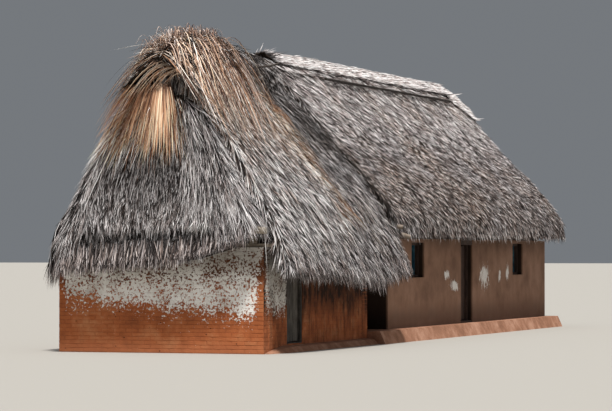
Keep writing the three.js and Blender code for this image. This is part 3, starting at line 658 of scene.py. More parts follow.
def strand_tree():
    """Scatters tapered leaf strips over a shell: each lies along the shell's flow, turned a little at random,
    and carries its own tone, the shell's age, its smoke stain and painted shade, and how far along the strip
    a point is."""
    tree, given = new_tree("lay_leaf_strips", {
        "Strips per square metre": ("NodeSocketFloat", 300.0),
        "Strip length": ("NodeSocketFloat", 0.4),
        "Shortest share": ("NodeSocketFloat", 0.5),
        "Strip width": ("NodeSocketFloat", 0.03),
        "Strip thickness": ("NodeSocketFloat", 0.006),
        "Curl": ("NodeSocketFloat", 0.0),
        "Joints along a strip": ("NodeSocketInt", 1),
        "Least turn": ("NodeSocketVector", (-0.5, -0.2, -0.3)),
        "Most turn": ("NodeSocketVector", (0.5, 0.0, 0.3)),
        "Tuft size": ("NodeSocketVector", (0.09, 0.09, 0.22)),
        "Tuft turn": ("NodeSocketVector", (0.5, 0.5, 1.6)),
        "Share left in gaps": ("NodeSocketFloat", 0.25),
        "Darkest": ("NodeSocketFloat", -0.5),
        "Lightest": ("NodeSocketFloat", 0.65),
        "Seed": ("NodeSocketInt", 1),
        "Material": ("NodeSocketMaterial", None),
    })
    read = {
        name: add_node(tree, "GeometryNodeInputNamedAttribute", {"data_type": kind}, {"Name": name})
        for name, kind in (("cover", "FLOAT"), ("reach", "FLOAT"), ("flow", "FLOAT_VECTOR"))
    }
    density = add_node(tree, "ShaderNodeMath", MULTIPLY, {
        0: given["Strips per square metre"], 1: read["cover"],
    })
    roots = add_node(tree, "GeometryNodeDistributePointsOnFaces", {}, {
        "Mesh": given["Geometry"], "Density": density, "Seed": given["Seed"],
    })
    tuft = tuft_noise(tree, given["Tuft size"])
    sparse = add_node(tree, "ShaderNodeMapRange", SMOOTHSTEP, {
        "Value": tuft, "From Min": 0.4, "From Max": 0.52,
        "To Min": given["Share left in gaps"], "To Max": 1.0,
    })
    lot = add_node(tree, "FunctionNodeRandomValue", {"data_type": "FLOAT"}, {2: 0.0, 3: 1.0, "Seed": 14})
    stays = add_node(tree, "ShaderNodeMath", {"operation": "LESS_THAN"}, {0: lot, 1: sparse})
    kept = add_node(tree, "GeometryNodeSeparateGeometry", {"domain": "POINT"}, {
        "Geometry": roots, "Selection": stays,
    })
    along = add_node(tree, "FunctionNodeAlignRotationToVector", {"axis": "X", "pivot_axis": "AUTO"}, {
        "Vector": read["flow"],
    })
    laid = add_node(tree, "FunctionNodeAlignRotationToVector", {"axis": "Z", "pivot_axis": "X"}, {
        "Rotation": along, "Vector": roots.outputs["Normal"],
    })
    turn = add_node(tree, "FunctionNodeRandomValue", {"data_type": "FLOAT_VECTOR"}, {
        0: given["Least turn"], 1: given["Most turn"], "Seed": given["Seed"],
    })
    lean = add_node(tree, "ShaderNodeVectorMath", {"operation": "SUBTRACT"}, {
        0: tuft.outputs["Color"], 1: (0.5, 0.5, 0.5),
    })
    together = add_node(tree, "ShaderNodeVectorMath", MULTIPLY_ADD, {0: lean, 1: given["Tuft turn"], 2: turn})
    tilt = add_node(tree, "FunctionNodeEulerToRotation", {}, {"Euler": together})
    posed = add_node(tree, "FunctionNodeRotateRotation", {"rotation_space": "LOCAL"}, {
        "Rotation": laid, "Rotate By": tilt,
    })
    share = add_node(tree, "FunctionNodeRandomValue", {"data_type": "FLOAT"}, {
        2: given["Shortest share"], 3: 1.0, "Seed": 11,
    })
    stretch = add_node(tree, "ShaderNodeMath", MULTIPLY, {0: share, 1: read["reach"]})
    breadth = add_node(tree, "FunctionNodeRandomValue", {"data_type": "FLOAT"}, {2: 0.6, 3: 1.25, "Seed": 12})
    size = add_node(tree, "ShaderNodeCombineXYZ", {}, {"X": stretch, "Y": breadth, "Z": stretch})
    spike = add_node(tree, "GeometryNodeMeshCone", {"fill_type": "NGON"}, {
        "Vertices": 3, "Side Segments": given["Joints along a strip"],
        "Radius Top": 0.0, "Radius Bottom": 0.57, "Depth": 1.0,
    })
    long_side = add_node(tree, "ShaderNodeCombineXYZ", {}, {
        "X": given["Strip length"], "Y": given["Strip width"], "Z": given["Strip thickness"],
    })
    flat = add_node(tree, "GeometryNodeTransform", {}, {
        "Geometry": spike, "Rotation": (0.0, math.radians(90), 0.0),
    })
    where = add_node(tree, "GeometryNodeInputPosition")
    parts = add_node(tree, "ShaderNodeSeparateXYZ", {}, {"Vector": where})
    marked = flat
    on_points = {"data_type": "FLOAT", "domain": "POINT"}
    for name, axis in (("along", "X"), ("across", "Y")):
        marked = add_node(tree, "GeometryNodeStoreNamedAttribute", on_points, {
            "Geometry": marked, "Name": name, "Value": parts.outputs[axis],
        })
    bow = add_node(tree, "ShaderNodeMath", {"operation": "POWER"}, {0: parts.outputs["X"], 1: 2.0})
    curled = add_node(tree, "ShaderNodeMath", MULTIPLY, {0: bow, 1: given["Curl"]})
    lift = add_node(tree, "ShaderNodeCombineXYZ", {}, {"Z": curled})
    sized = add_node(tree, "GeometryNodeTransform", {}, {"Geometry": marked, "Scale": long_side})
    bent = add_node(tree, "GeometryNodeSetPosition", {}, {"Geometry": sized, "Offset": lift})
    strips = add_node(tree, "GeometryNodeInstanceOnPoints", {}, {
        "Points": kept, "Instance": bent, "Rotation": posed, "Scale": size,
    })
    own_tone = add_node(tree, "FunctionNodeRandomValue", {"data_type": "FLOAT"}, {
        2: given["Darkest"], 3: given["Lightest"], "Seed": 13,
    })
    tone = add_node(tree, "ShaderNodeMath", {"operation": "MULTIPLY_ADD", "use_clamp": True}, {
        0: tuft, 1: 0.8, 2: own_tone,
    })
    toned = add_node(tree, "GeometryNodeStoreNamedAttribute", {"data_type": "FLOAT", "domain": "INSTANCE"}, {
        "Geometry": strips, "Name": "tone", "Value": tone,
    })
    end_tree(tree, toned, given["Material"])
    return tree


def tuft_noise(tree, size):
    """Noise by place: strips of one tuft share its direction and tone, and gaps open between tufts."""
    place = add_node(tree, "GeometryNodeInputPosition")
    scaled = add_node(tree, "ShaderNodeVectorMath", {"operation": "DIVIDE"}, {0: place, 1: size})
    return add_node(tree, "ShaderNodeTexNoise", {}, {
        "Vector": scaled, "Scale": 1.0, "Detail": 1.5, "Roughness": 0.6,
    })


STRAND_TREE = strand_tree()


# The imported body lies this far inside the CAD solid
INSET = 0.045
# Loose leaf stands proud of the CAD box by no more than this
STRIP_PROUD = Vector((0.14, 0.4, 0.165))
STRIP_LOW = np.array(CAD_BOX[0] - STRIP_PROUD)
STRIP_HIGH = np.array(CAD_BOX[1] + STRIP_PROUD)
KITCHEN_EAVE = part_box("kitchen_thatch_right")[0].z
HOUSE_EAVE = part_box("house_thatch_right")[0].z


def even_shell(node, voxel):
    """A CAD solid's shape in even faces of one voxel a side, merged and closed."""
    piece = new_object(node + "_even", merged_copy(node))
    even = piece.modifiers.new("even", "REMESH")
    even.mode = "VOXEL"
    even.voxel_size = voxel
    return plain_mesh(piece)


def set_attribute(mesh, name, values):
    """Stores one number or one vector for each vertex."""
    kind, field = ("FLOAT_VECTOR", "vector") if values.ndim == 2 else ("FLOAT", "value")
    mesh.attributes.new(name, kind, "POINT").data.foreach_set(field, values.astype(np.float32).ravel())


def unit(vectors):
    """Vectors scaled to length one."""
    return vectors / np.maximum(np.linalg.norm(vectors, axis=1, keepdims=True), 1e-6)


def packed_shell(node, voxel, rough, zone_of, seed, cut_back):
    """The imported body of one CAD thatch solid: lumpy, a strip's thickness inside the solid, and cut back at
    its lower edge so that loose tips make the eave. Returns its mesh, what zone_of says of its points, the
    points and their normals."""
    shell = even_shell(node, voxel)
    points, normals = coordinates(shell), vertex_normals(shell)
    drawn = zone_of(points - np.array(ORIGIN), normals)
    outward = smooth(-0.35, 0.15, normals[:, 2])
    swell = rough * (lumps(points, 0.85, seed) + 0.5 * lumps(points, 0.26, seed + 1)) - INSET
    free = (0.1 + 0.9 * outward) * (1 - drawn.get("held", 0.0))
    moved = points + normals * ((swell + drawn.get("thick", 0.0)) * free)[:, None]
    if cut_back:
        moved[:, 2] += cut_back * smooth(3.5 * cut_back, 0.3 * cut_back, drawn["room"])
    own = moved - np.array(ORIGIN)
    zone = zone_of(own, normals)
    set_coordinates(shell, moved)
    for name in ("cover", "reach", "age", "soot", "flow"):
        set_attribute(shell, name, zone[name])
    shade(shell, 60)
    return shell, zone, own, normals


def thatch_piece(node, voxel, rough, zone_of, layers, seed, overhang, cut_back):
    """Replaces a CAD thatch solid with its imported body, and lays each layer of strips over it. Tips reach
    past the solid's lower edge by the overhang, and further by what a layer itself says."""
    shell, zone, own, normals = packed_shell(node, voxel, rough, zone_of, seed, cut_back)
    strands = []
    for number, layer in enumerate(layers):
        settings = {
            "Strips per square metre": layer["density"], "Strip length": layer["length"],
            "Strip width": layer["width"], "Strip thickness": layer.get("thickness", 0.008),
            "Curl": layer.get("curl", 0.0),
            "Joints along a strip": layer.get("joints", 1), "Seed": seed * 10 + number,
            "Least turn": layer["least"], "Most turn": layer["most"],
            "Share left in gaps": layer.get("in_gaps", 0.25),
            "Darkest": layer.get("darkest", -0.9), "Lightest": layer.get("lightest", 1.0),
            "Tuft size": layer.get("tuft", (0.08, 0.08, 0.2)),
            "Tuft turn": layer.get("sway", (0.5, 0.4, 1.0)),
        }
        source = shell.copy()
        longest = (zone["room"] + overhang + layer.get("past", 0.0)) / layer["length"]
        reach = np.clip(np.minimum(zone["reach"], longest), 0.25, None)
        source.attributes["reach"].data.foreach_set("value", reach.astype(np.float32))
        cover = zone["cover"] * (layer["only"](own, normals) if "only" in layer else 1.0)
        source.attributes["cover"].data.foreach_set("value", cover.astype(np.float32))
        strands.append(grown(f"{node}_layer", source, STRAND_TREE, settings, STRAND))
    shell.materials.append(PACKED)
    settle(new_object(node + "_shell", shell), nodes=[node])
    loose = joined(strands)
    set_coordinates(loose, np.clip(coordinates(loose), STRIP_LOW, STRIP_HIGH))
    settle(new_object(node + "_strips", loose))


def joined(meshes):
    """Several meshes with like materials as one mesh."""
    pieces = [new_object("part", mesh) for mesh in meshes]
    if len(pieces) > 1:
        with bpy.context.temp_override(active_object=pieces[0], selected_editable_objects=pieces):
            bpy.ops.object.join()
    mesh = pieces[0].data
    bpy.data.objects.remove(pieces[0])
    return mesh


def along_surface(pull, normals):
    """The part of each pull that lies in the surface, as a direction. Faces that look down count as upright,
    so that strips hang from the rim and don't run in under it."""
    facing = normals.copy()
    facing[:, 2] = np.maximum(facing[:, 2], 0.1)
    facing = unit(facing)
    return unit(pull - facing * np.sum(pull * facing, axis=1, keepdims=True))


def falling(normals, lean):
    """The way strips lie on a slope: downhill in the surface, with a lean along the ridge."""
    down = np.stack([np.zeros(len(normals)), lean * np.ones(len(normals)), -np.ones(len(normals))], axis=1)
    return along_surface(down, normals)


def room_to(low_edge, own, flow):
    """How long a strip may be before its tip passes a lower edge at that height."""
    return np.maximum(own[:, 2] - low_edge, 0.0) / np.maximum(-flow[:, 2], 0.3)


def slope_cover(normals):
    """1 on faces that look up or out, 0 on the underside."""
    return smooth(-0.6, -0.3, normals[:, 2])


def verge_face(normals, axis):
    """1 on faces that look along the axis, where the body keeps to its CAD solid, and 0 on the slopes."""
    return smooth(0.6, 0.9, np.abs(normals[:, axis]))


def newer_edge(z):
    """The y at which the right slope's newer layer ends, at each height."""
    return 3.55 - 1.35 * smooth(4.9, 5.6, z)


def far_verge(z):
    """The y of the kitchen roof's far edge at each height: it leans back towards the kitchen as it rises."""
    return 6.56 - 0.39 * (z - KITCHEN_EAVE)


# Where strips of the kitchen's right eave end: y, and the height there
RIGHT_EAVE = ((0.0, 1.85, 4.5, 5.1, 6.8), (1.58, 1.48, 1.27, 1.38, 1.52))


def kitchen_right_zones(own, normals):
    """The kitchen's right slope: a newer straw-coloured layer in front, smoke-dark thatch behind its edge."""
    _, y, z = own.T
    edge = newer_edge(z) + 0.12 * lumps(own, 0.5, 3)
    newer = smooth(edge + 0.1, edge - 0.1, y)
    blotch = lumps(own, 0.7, 5)
    streak = lumps(own * (1.0, 1.6, 0.5), 0.22, 6)
    fresh = newer * smooth(2.9, 4.2, z + 0.6 * blotch)
    rim = smooth(1.3, 0.2, edge - y) * smooth(-0.1, 0.1, edge - y) * smooth(2.2, 3.2, z)
    dark = (1 - newer) * smooth(3.2, 4.3, z + 0.35 * blotch)
    # Painted shadow: a dark band along the roof's far verge, in the gap where it overlaps the house roof
    gap = smooth(0.28, 0.05, np.abs(far_verge(z) - 0.12 - y)) * smooth(2.0, 2.8, z)
    flow = falling(normals, 0.4 * smooth(3.6, 1.6, z) - 0.06)
    low_back = smooth(3.0, 4.5, y) * smooth(5.6, 4.7, y) * smooth(2.4, 1.6, z)
    soot = 0.74 * dark + 0.55 * gap + 0.22 * (1 - newer) - 0.34 * newer * smooth(1.8, 2.6, z)
    return {
        "cover": slope_cover(normals),
        "reach": 1.0 + 0.25 * blotch + 0.35 * low_back,
        "age": np.clip(0.95 - 0.35 * fresh - 0.5 * rim + 0.3 * blotch + 0.25 * streak, 0.05, 1.0),
        "soot": np.clip(soot, -0.6, 0.85),
        "flow": flow,
        "room": room_to(np.interp(y, *RIGHT_EAVE), own, flow),
        "thick": 0.05 * newer * smooth(1.4, 2.4, z),
        "held": verge_face(normals, 1),
    }


def kitchen_left_zones(own, normals):
    """The kitchen's left slope, the same mix of newer and old thatch without its hard edge."""
    _, y, z = own.T
    blotch = lumps(own, 0.8, 7)
    fresh = smooth(3.2, 1.2, y) * smooth(3.0, 4.2, z + 0.5 * blotch)
    dark = smooth(2.8, 4.0, y) * smooth(3.4, 4.6, z + 0.4 * blotch)
    flow = falling(normals, 0.15)
    return {
        "cover": slope_cover(normals),
        "reach": 1.0 + 0.2 * blotch,
        "age": np.clip(0.9 - 0.5 * fresh + 0.25 * blotch, 0.05, 1.0),
        "soot": np.clip(0.5 * dark, 0, 0.8),
        "flow": flow,
        "room": room_to(KITCHEN_EAVE, own, flow),
        "thick": np.full(len(own), -0.05),
        "held": verge_face(normals, 1),
    }


# The gable: where its straw fan starts (x, z), how far it opens, and the height and step of its lowest course
FAN_TOP = (0.12, 5.0)
FAN_OPENS = 0.62
COURSE_Z = 2.2
COURSE_STEP = 0.1
# Where the gable's laid strips end: x, and the height there
FRINGE_ENDS = ((-1.9, -1.5, -0.36, 0.33, 0.75, 1.25, 1.7), (1.5, 1.5, 1.6, 1.63, 1.83, 1.98, 2.0))


def gable_zones(own, normals):
    """The hipped gable: a fan of fresh straw under the smoke hole, a long grey lock down each side, and
    between them old thatch in shaggy courses, the last of which hangs over a pale fringe."""
    x, _, z = own.T
    blotch = lumps(own, 0.5, 9)
    fan = smooth(3.57, 3.77, z + 0.14 * lumps(own, 0.12, 10)) * smooth(0.52, 0.4, x)
    fan = fan * smooth(-1.25, -1.0, x + 0.3 * (z - 3.9))
    lock = smooth(0.5, 0.62, x + 0.05 * blotch + 0.12 * (z - 3.0))
    left = smooth(-1.15, -1.38, x - 0.42 * (z - 2.5))
    old = (1 - lock) * (1 - left) * (1 - fan)
    spread = np.maximum(smooth(2.9, 3.7, z), np.maximum(left, smooth(0.8, 1.3, x)))
    opens = FAN_OPENS - 0.3 * left * smooth(3.9, 3.2, z)
    pull = np.stack([
        spread * (x - FAN_TOP[0]) * opens + (1 - spread) * 0.25 * blotch,
        np.full(len(x), -0.1),
        -np.maximum(FAN_TOP[1] - z, 0.4) * spread - (1 - spread),
    ], axis=1)
    flow = along_surface(pull, normals)
    room = room_to(np.interp(x, *FRINGE_ENDS), own, flow)
    course = z - (COURSE_Z + 0.05 * x + 0.06 * lumps(own, 0.3, 12))
    above = smooth(-0.02, 0.04, course)
    middle = (1 - left) * smooth(1.25, 1.0, x)
    room = np.where((course > 0) & (middle > 0.5), np.minimum(room, course + 0.03), room)
    # Painted shadow: the thatch just under the last course's overhang, and the band below the course, are
    # darkened
    under = (1 - above) * smooth(-0.2, -0.04, course) * middle
    pale = smooth(0.3, 0.1, np.abs(course - 0.15)) * middle
    upper = smooth(2.45, 2.8, z + 0.2 * blotch) * old
    soot = 0.46 * old * above - 0.34 * pale + 0.1 * upper + 0.3 * (1 - above) * middle + 0.5 * under - fan
    return {
        "cover": smooth(0.3, -0.1, normals[:, 1]) * slope_cover(normals) * smooth(0.8, 0.5, normals[:, 2]),
        "reach": np.where(fan > 0.5, 1.5, 0.8 + 0.9 * lock + 0.45 * left),
        "age": np.clip(0.97 - 0.93 * fan + 0.12 * blotch, 0.03, 1.0),
        "soot": np.clip(soot, -1.0, 0.85),
        "flow": flow,
        "room": room,
        "thick": 0.02 - COURSE_STEP * (1 - above) * middle,
        "held": verge_face(normals, 0),
    }


def crown_zones(own, normals):
    """The kitchen's ridge: fresh leaf thrown over the poles in front, smoke-dark from the smoke hole
    backwards and pale again before the house. On its front face strips follow the two legs, so that the smoke
    hole stays open."""
    x, y, z = own.T
    blotch = lumps(own, 0.5, 15)
    front = smooth(2.9, 2.1, y)
    dark = (1 - front) * smooth(5.0, 4.4, y)
    face = smooth(-0.3, -0.7, normals[:, 1])
    side = np.where(x > 0.1, 1.0, -1.0)
    pull = np.stack([
        side * (0.8 + 0.6 * face), (0.1 - 0.35 * front) * (1 - face), -np.ones(len(x)),
    ], axis=1)
    flow = along_surface(pull, normals)
    legs = np.where(np.abs(x) > 0.5, 4.2, 5.0)
    return {
        "cover": smooth(-0.5, -0.1, normals[:, 2]),
        "reach": 1.0 + 0.25 * blotch,
        "age": np.clip(0.4 + 0.4 * blotch + 0.45 * (1 - front), 0.05, 1.0),
        "soot": np.clip(0.66 * dark - 0.25 * front, -0.6, 0.85),
        "flow": flow,
        "room": room_to(legs, own, flow) + 0.05,
        "thick": -0.08 * smooth(5.0, 4.6, z) * (1 - face),
    }


def house_zones(own, normals):
    """The house slopes: even, bleached most near the ridge, a little browner low down and in old patches."""
    _, y, z = own.T
    blotch = lumps(own, 1.3, 21, 3)
    near = smooth(0.45, 0.0, y - far_verge(z)) * smooth(5.0, 4.6, z)
    flow = falling(normals, 0.15 + 0.15 * lumps(own, 0.9, 23))
    soot = 0.6 * near + 0.3 * smooth(4.2, 2.4, z) - 0.65 * smooth(3.6, 4.8, z) + 0.1 * blotch
    return {
        "cover": slope_cover(normals),
        "reach": 1.0 + 0.25 * blotch + 0.5 * smooth(4.1, 4.9, z),
        "age": np.clip(0.8 + 0.2 * smooth(3.0, 4.6, z) + 0.25 * blotch, 0.2, 1.0),
        "soot": np.clip(soot, -0.8, 0.8),
        "flow": flow,
        "room": room_to(HOUSE_EAVE, own, flow),
    }


def house_ridge_zones(own, normals):
    """The house's ridge cap: long bleached leaf laid lengthwise, with dark ends at the kitchen."""
    y = own[:, 1]
    blotch = lumps(own, 0.9, 31)
    pull = np.stack([0.12 * blotch, np.ones(len(own)), 0.1 * blotch], axis=1)
    return {
        "cover": smooth(-0.35, 0.0, normals[:, 2]) * smooth(-0.6, -0.2, -np.abs(normals[:, 1])),
        "reach": 1.0 + 0.2 * blotch,
        "age": np.clip(0.97 + 0.1 * blotch, 0.3, 1.0),
        "soot": np.clip(1.2 * smooth(5.7, 5.0, y) - 0.85, -1.0, 0.8),
        "flow": along_surface(pull, normals),
        "room": np.full(len(own), 1.0),
    }


def end_zones(own, normals):
    """The far gable: plain old thatch that hangs straight down."""
    blotch = lumps(own, 0.7, 35)
    flow = falling(normals, 0.0)
    return {
        "cover": smooth(-0.3, 0.1, normals[:, 1]) * smooth(-0.7, -0.3, normals[:, 2]),
        "reach": 1.0 + 0.2 * blotch,
        "age": np.clip(0.9 + 0.2 * blotch, 0.3, 1.0),
        "soot": np.clip(0.25 + 0.2 * blotch, 0, 0.6),
        "flow": flow,
        "room": room_to(HOUSE_EAVE, own, flow),
    }


def eave_band(height):
    """Only the lowest stretch of a slope, where the fringe hangs."""
    return lambda own, normals: smooth(height + 0.15, height - 0.1, own[:, 2])


def crown_front(own, normals):
    """Only the crown's top in front, where stray leaf sticks up."""
    return smooth(2.6, 1.8, own[:, 1]) * smooth(0.5, 0.85, normals[:, 2]) * smooth(5.2, 5.45, own[:, 2])


# The kinds of strip that the layers are laid from. Lengths are in metres and turns in radians.
LONG = {"length": 0.5, "width": 0.02, "least": (-0.6, -0.16, -0.16), "most": (0.6, -0.02, 0.16)}
SHORT = {"length": 0.25, "width": 0.018, "least": (-0.8, -0.4, -0.4), "most": (0.8, -0.05, 0.4)}
FINE = {
    "length": 0.2, "width": 0.019, "least": (-0.8, -0.4, -0.4), "most": (0.8, -0.06, 0.4),
    "tuft": (0.05, 0.05, 0.11), "sway": (0.3, 0.3, 0.8), "darkest": -0.4, "lightest": 0.6,
}
STALKS = {
    "length": 1.2, "width": 0.022, "thickness": 0.02, "joints": 3, "curl": -0.06, "density": 6,
    "least": (-0.2, -0.1, -0.12), "most": (0.2, -0.02, 0.12), "sway": (0.3, 0.1, 0.4), "in_gaps": 1.0,
}
FRINGE = {
    "length": 0.42, "width": 0.024, "curl": -0.04, "joints": 2, "in_gaps": 0.6, "past": 0.05,
    "least": (-0.6, -0.2, -0.25), "most": (0.6, 0.15, 0.25),
}
WISPS = {
    "length": 0.4, "width": 0.014, "curl": -0.2, "joints": 4, "density": 150, "only": crown_front,
    "least": (-0.9, -1.1, -1.2), "most": (0.9, -0.25, 1.2), "in_gaps": 1.0,
}

thatch_piece("kitchen_thatch_right", 0.075, 0.035, kitchen_right_zones, [
    {**LONG, "density": 640}, {**SHORT, "density": 760}, STALKS,
    {**FRINGE, "density": 420, "only": eave_band(1.85)},
], 1, 0.24, 0.05)
thatch_piece("kitchen_thatch_left", 0.1, 0.03, kitchen_left_zones, [
    {**LONG, "density": 260, "width": 0.028}, {**SHORT, "density": 230, "width": 0.028},
    {**FRINGE, "density": 160, "only": eave_band(1.85)},
], 2, 0.08, 0.08)
thatch_piece("kitchen_gable_thatch", 0.055, 0.025, gable_zones, [
    {**LONG, "density": 900}, {**SHORT, "density": 1700, "length": 0.2},
    {**STALKS, "density": 9}, {**FRINGE, "density": 500, "width": 0.026, "only": eave_band(2.1)},
], 3, 0.15, 0.05)
thatch_piece("kitchen_ridge_thatch", 0.07, 0.035, crown_zones, [
    {**LONG, "density": 480, "joints": 2, "curl": -0.05}, {**SHORT, "density": 420}, STALKS, WISPS,
], 4, 0.05, 0.0)
thatch_piece("house_thatch_right", 0.11, 0.03, house_zones, [
    {**FINE, "density": 830},
    {**FRINGE, "density": 450, "length": 0.3, "only": eave_band(2.4)},
], 5, 0.06, 0.06)
thatch_piece("house_thatch_left", 0.13, 0.03, house_zones, [
    {**FINE, "density": 260, "length": 0.28, "width": 0.032},
    {**FRINGE, "density": 200, "length": 0.3, "only": eave_band(2.4)},
], 6, 0.06, 0.06)
thatch_piece("house_ridge_thatch", 0.08, 0.006, house_ridge_zones, [
    {**LONG, "density": 900, "length": 0.6, "width": 0.024, "in_gaps": 0.8, "sway": (0.3, 0.1, 0.3),
     "least": (-0.3, -0.05, -0.06), "most": (0.3, 0.0, 0.06), "darkest": -0.1, "lightest": 0.7},
], 7, 0.1, 0.0)
thatch_piece("house_end_thatch", 0.1, 0.022, end_zones, [
    {**LONG, "density": 260}, {**SHORT, "density": 260},
], 8, 0.05, 0.06)


def arched_leaf(start, end, rise, width, rings=7):
    """One long dried leaf that springs from start, arches and ends in a point: a closed three-sided blade."""
    start, end = np.array(start), np.array(end)
    run = end - start
    side = np.cross(run, (0, 0, 1.0))
    side /= np.linalg.norm(side)
    keel = np.cross(run, side)
    keel /= np.linalg.norm(keel)
    points, faces, reached = [], [], []
    for ring in range(rings):
        t = ring / rings
        centre = start + run * t + np.array((0, 0, rise * 4 * t * (1 - t)))
        half = width / 2 * (1 - 0.75 * t)
        points += [centre + side * half, centre - side * half, centre + keel * half * 0.6]
        reached += [t] * 3
    points.append(end)
    reached.append(1.0)
    for ring in range(rings - 1):
        base = ring * 3
        for corner in range(3):
            after = (corner + 1) % 3
            faces.append((base + corner, base + 3 + corner, base + 3 + after, base + after))
    last = (rings - 1) * 3
    faces += [(last, last + 3, last + 1), (last + 1, last + 3, last + 2), (last + 2, last + 3, last)]
    faces.append((0, 1, 2))
    return points, faces, reached


def leaves(name, specs, soot=-0.15):
    """Many arched leaves as one piece. Each spec is the leaf's shape, its tone and its age."""
    points, faces = [], []
    facts = {"along": [], "across": [], "tone": [], "age": [], "soot": []}
    for spec, tone, age in specs:
        corners, sides, reached = arched_leaf(*spec)
        faces += [tuple(corner + len(points) for corner in side) for side in sides]
        points += corners
        facts["along"] += [0.25 + 0.75 * part for part in reached]
        facts["across"] += ([0.5, -0.5, 0.0] * len(corners))[:len(corners)]
        facts["tone"] += [tone] * len(corners)
        facts["age"] += [age] * len(corners)
        facts["soot"] += [soot] * len(corners)
    mesh = closed_mesh(name, points, faces)
    for label, values in facts.items():
        set_attribute(mesh, label, np.array(values))
    set_coordinates(mesh, np.clip(coordinates(mesh), STRIP_LOW, STRIP_HIGH))
    return settle(new_object(name, mesh, [STRAND]))


def crown_height(y):
    """The height of the crown's top at that y: a nose over the smoke hole, full height from 1.5 m back."""
    return np.interp(y, (-0.3, 0.55, 1.5), (5.25, 5.54, 5.66))


# The kitchen's slopes from the crown down: distance from the ridge line, and the height there
RIGHT_SLOPE = ((0.4, 1.08, 1.68), (4.99, 4.15, 3.35))
LEFT_SLOPE = ((0.3, 0.93, 1.53), (4.99, 4.15, 3.35))
# The right slope again from the eave up: height, and distance from the ridge line
RIGHT_RISE = ((2.1, 2.77, 3.35, 4.15, 4.99), (2.38, 2.08, 1.68, 1.08, 0.4))


def many(draw, count, seed):
    """That many leaves from one seeded generator. draw makes a leaf's shape, tone and age from the generator,
    the leaf's number and their count."""
    pick = np.random.default_rng(seed)
    return [draw(pick, number, count) for number in range(count)]


def leaf(pick, root, tip, rise, width, tone, age):
    """A leaf between two points whose rise, width, tone and age are each drawn between two values."""
    rise, width, tone, age = [pick.uniform(*span) for span in (rise, width, tone, age)]
    return (root, tip, rise, width), tone, age


def right_leaf(pick, *_):
    """Leaf thrown over the crown that lies down over the top of the right slope."""
    y, foot = pick.uniform(-0.3, 2.3), pick.uniform(0.6, 1.7)
    root = hut_point(pick.uniform(0.0, 0.35), y, crown_height(y) - 0.04)
    height = np.interp(foot, *RIGHT_SLOPE) + pick.uniform(0.02, 0.12)
    tip = hut_point(foot, y + pick.normal(-0.1, 0.5), height)
    return leaf(pick, root, tip, (0.16, 0.5), (0.014, 0.034), (0.0, 0.95), (0.0, 0.7))


def left_leaf(pick, *_):
    """Leaf thrown over the crown that arches out and down to the left, swept a little forward."""
    y, foot = pick.uniform(-0.3, 2.0), pick.uniform(-1.05, -0.55)
    root = hut_point(pick.uniform(-0.1, 0.3), y, crown_height(y) - 0.04)
    height = np.interp(-foot, *LEFT_SLOPE) + pick.uniform(-0.05, 0.3)
    tip = hut_point(foot, y + pick.uniform(-0.4, 0.1), height)
    rise = 0.12 + 0.26 * smooth(-0.3, 1.0, y) + pick.uniform(0, 0.12)
    return (root, tip, rise, pick.uniform(0.016, 0.028)), pick.random(), pick.uniform(0.1, 0.8)


def hole_leaf(pick, number, count):
    """Leaf that bows over the smoke hole, from the crown's right leg across to the top of the straw fan."""
    share = (number + pick.uniform(-0.4, 0.4)) / count
    root = hut_point(0.15 + 0.55 * share, -0.3, 5.1 - 0.3 * share)
    tip = hut_point(-0.75 + 1.05 * share, -0.36, 4.2 + 0.45 * share)
    return leaf(pick, root, tip, (0.1, 0.22), (0.018, 0.03), (0.3, 1.0), (0.0, 0.3))


def fan_leaf(pick, number, count):
    """The top of the straw fan, tucked in below the smoke hole and spread over the gable's upper edge."""
    share = (number + pick.uniform(-0.5, 0.5)) / count
    root = hut_point(-0.5 + 0.83 * share, -0.3, 4.64 + pick.uniform(-0.06, 0.06))
    drop = pick.uniform(0.45, 1.35)
    spread = (share - 0.72) * min(1.15 * drop, 0.8)
    tip = root + Vector((spread, -0.1 - 0.1 * drop, -drop))
    return leaf(pick, root, tip, (0.03, 0.07), (0.016, 0.026), (0.1, 0.75), (0.0, 0.15))


def rim_leaf(pick, *_):
    """Straw-coloured leaf along the newer layer's back edge, its end out over the smoke-dark thatch."""
    z = pick.uniform(2.5, 4.9)
    x = np.interp(z, *RIGHT_RISE)
    length = pick.uniform(0.4, 0.8)
    root = hut_point(x, newer_edge(z) - pick.uniform(0.25, 0.6), z)
    tip = root + Vector((0.62 * length, pick.uniform(0.3, 0.65), -0.8 * length + 0.06))
    return leaf(pick, root, tip, (0.05, 0.12), (0.016, 0.03), (0.1, 1.0), (0.0, 0.4))


def stray_leaf(pick, *_):
    """A thin curl of leaf that stands up from the crown's top against the sky."""
    y = pick.uniform(-0.1, 2.2)
    root = hut_point(pick.uniform(-0.25, 0.35), y, crown_height(y) - 0.05)
    tip = root + Vector((pick.uniform(-0.4, 0.3), pick.uniform(-0.3, 0.2), pick.uniform(-0.2, 0.12)))
    return leaf(pick, root, tip, (0.08, 0.26), (0.01, 0.02), (0.1, 0.8), (0.2, 0.9))


def rim_of(node, run, out, outward):
    """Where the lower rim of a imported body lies, for places along one axis: its height, and how far out it
    stands."""
    spots = coordinates(bpy.data.objects[node + "_shell"].data) - np.array(ORIGIN)
    rows = []
    for place in np.arange(spots[:, run].min() + 0.12, spots[:, run].max() - 0.06, 0.1):
        near = spots[np.abs(spots[:, run] - place) < 0.1]
        low = near[:, 2].min()
        stands = (near[near[:, 2] < low + 0.2][:, out] * outward).max()
        rows.append((place, low, stands * outward))
    return np.array(rows).T


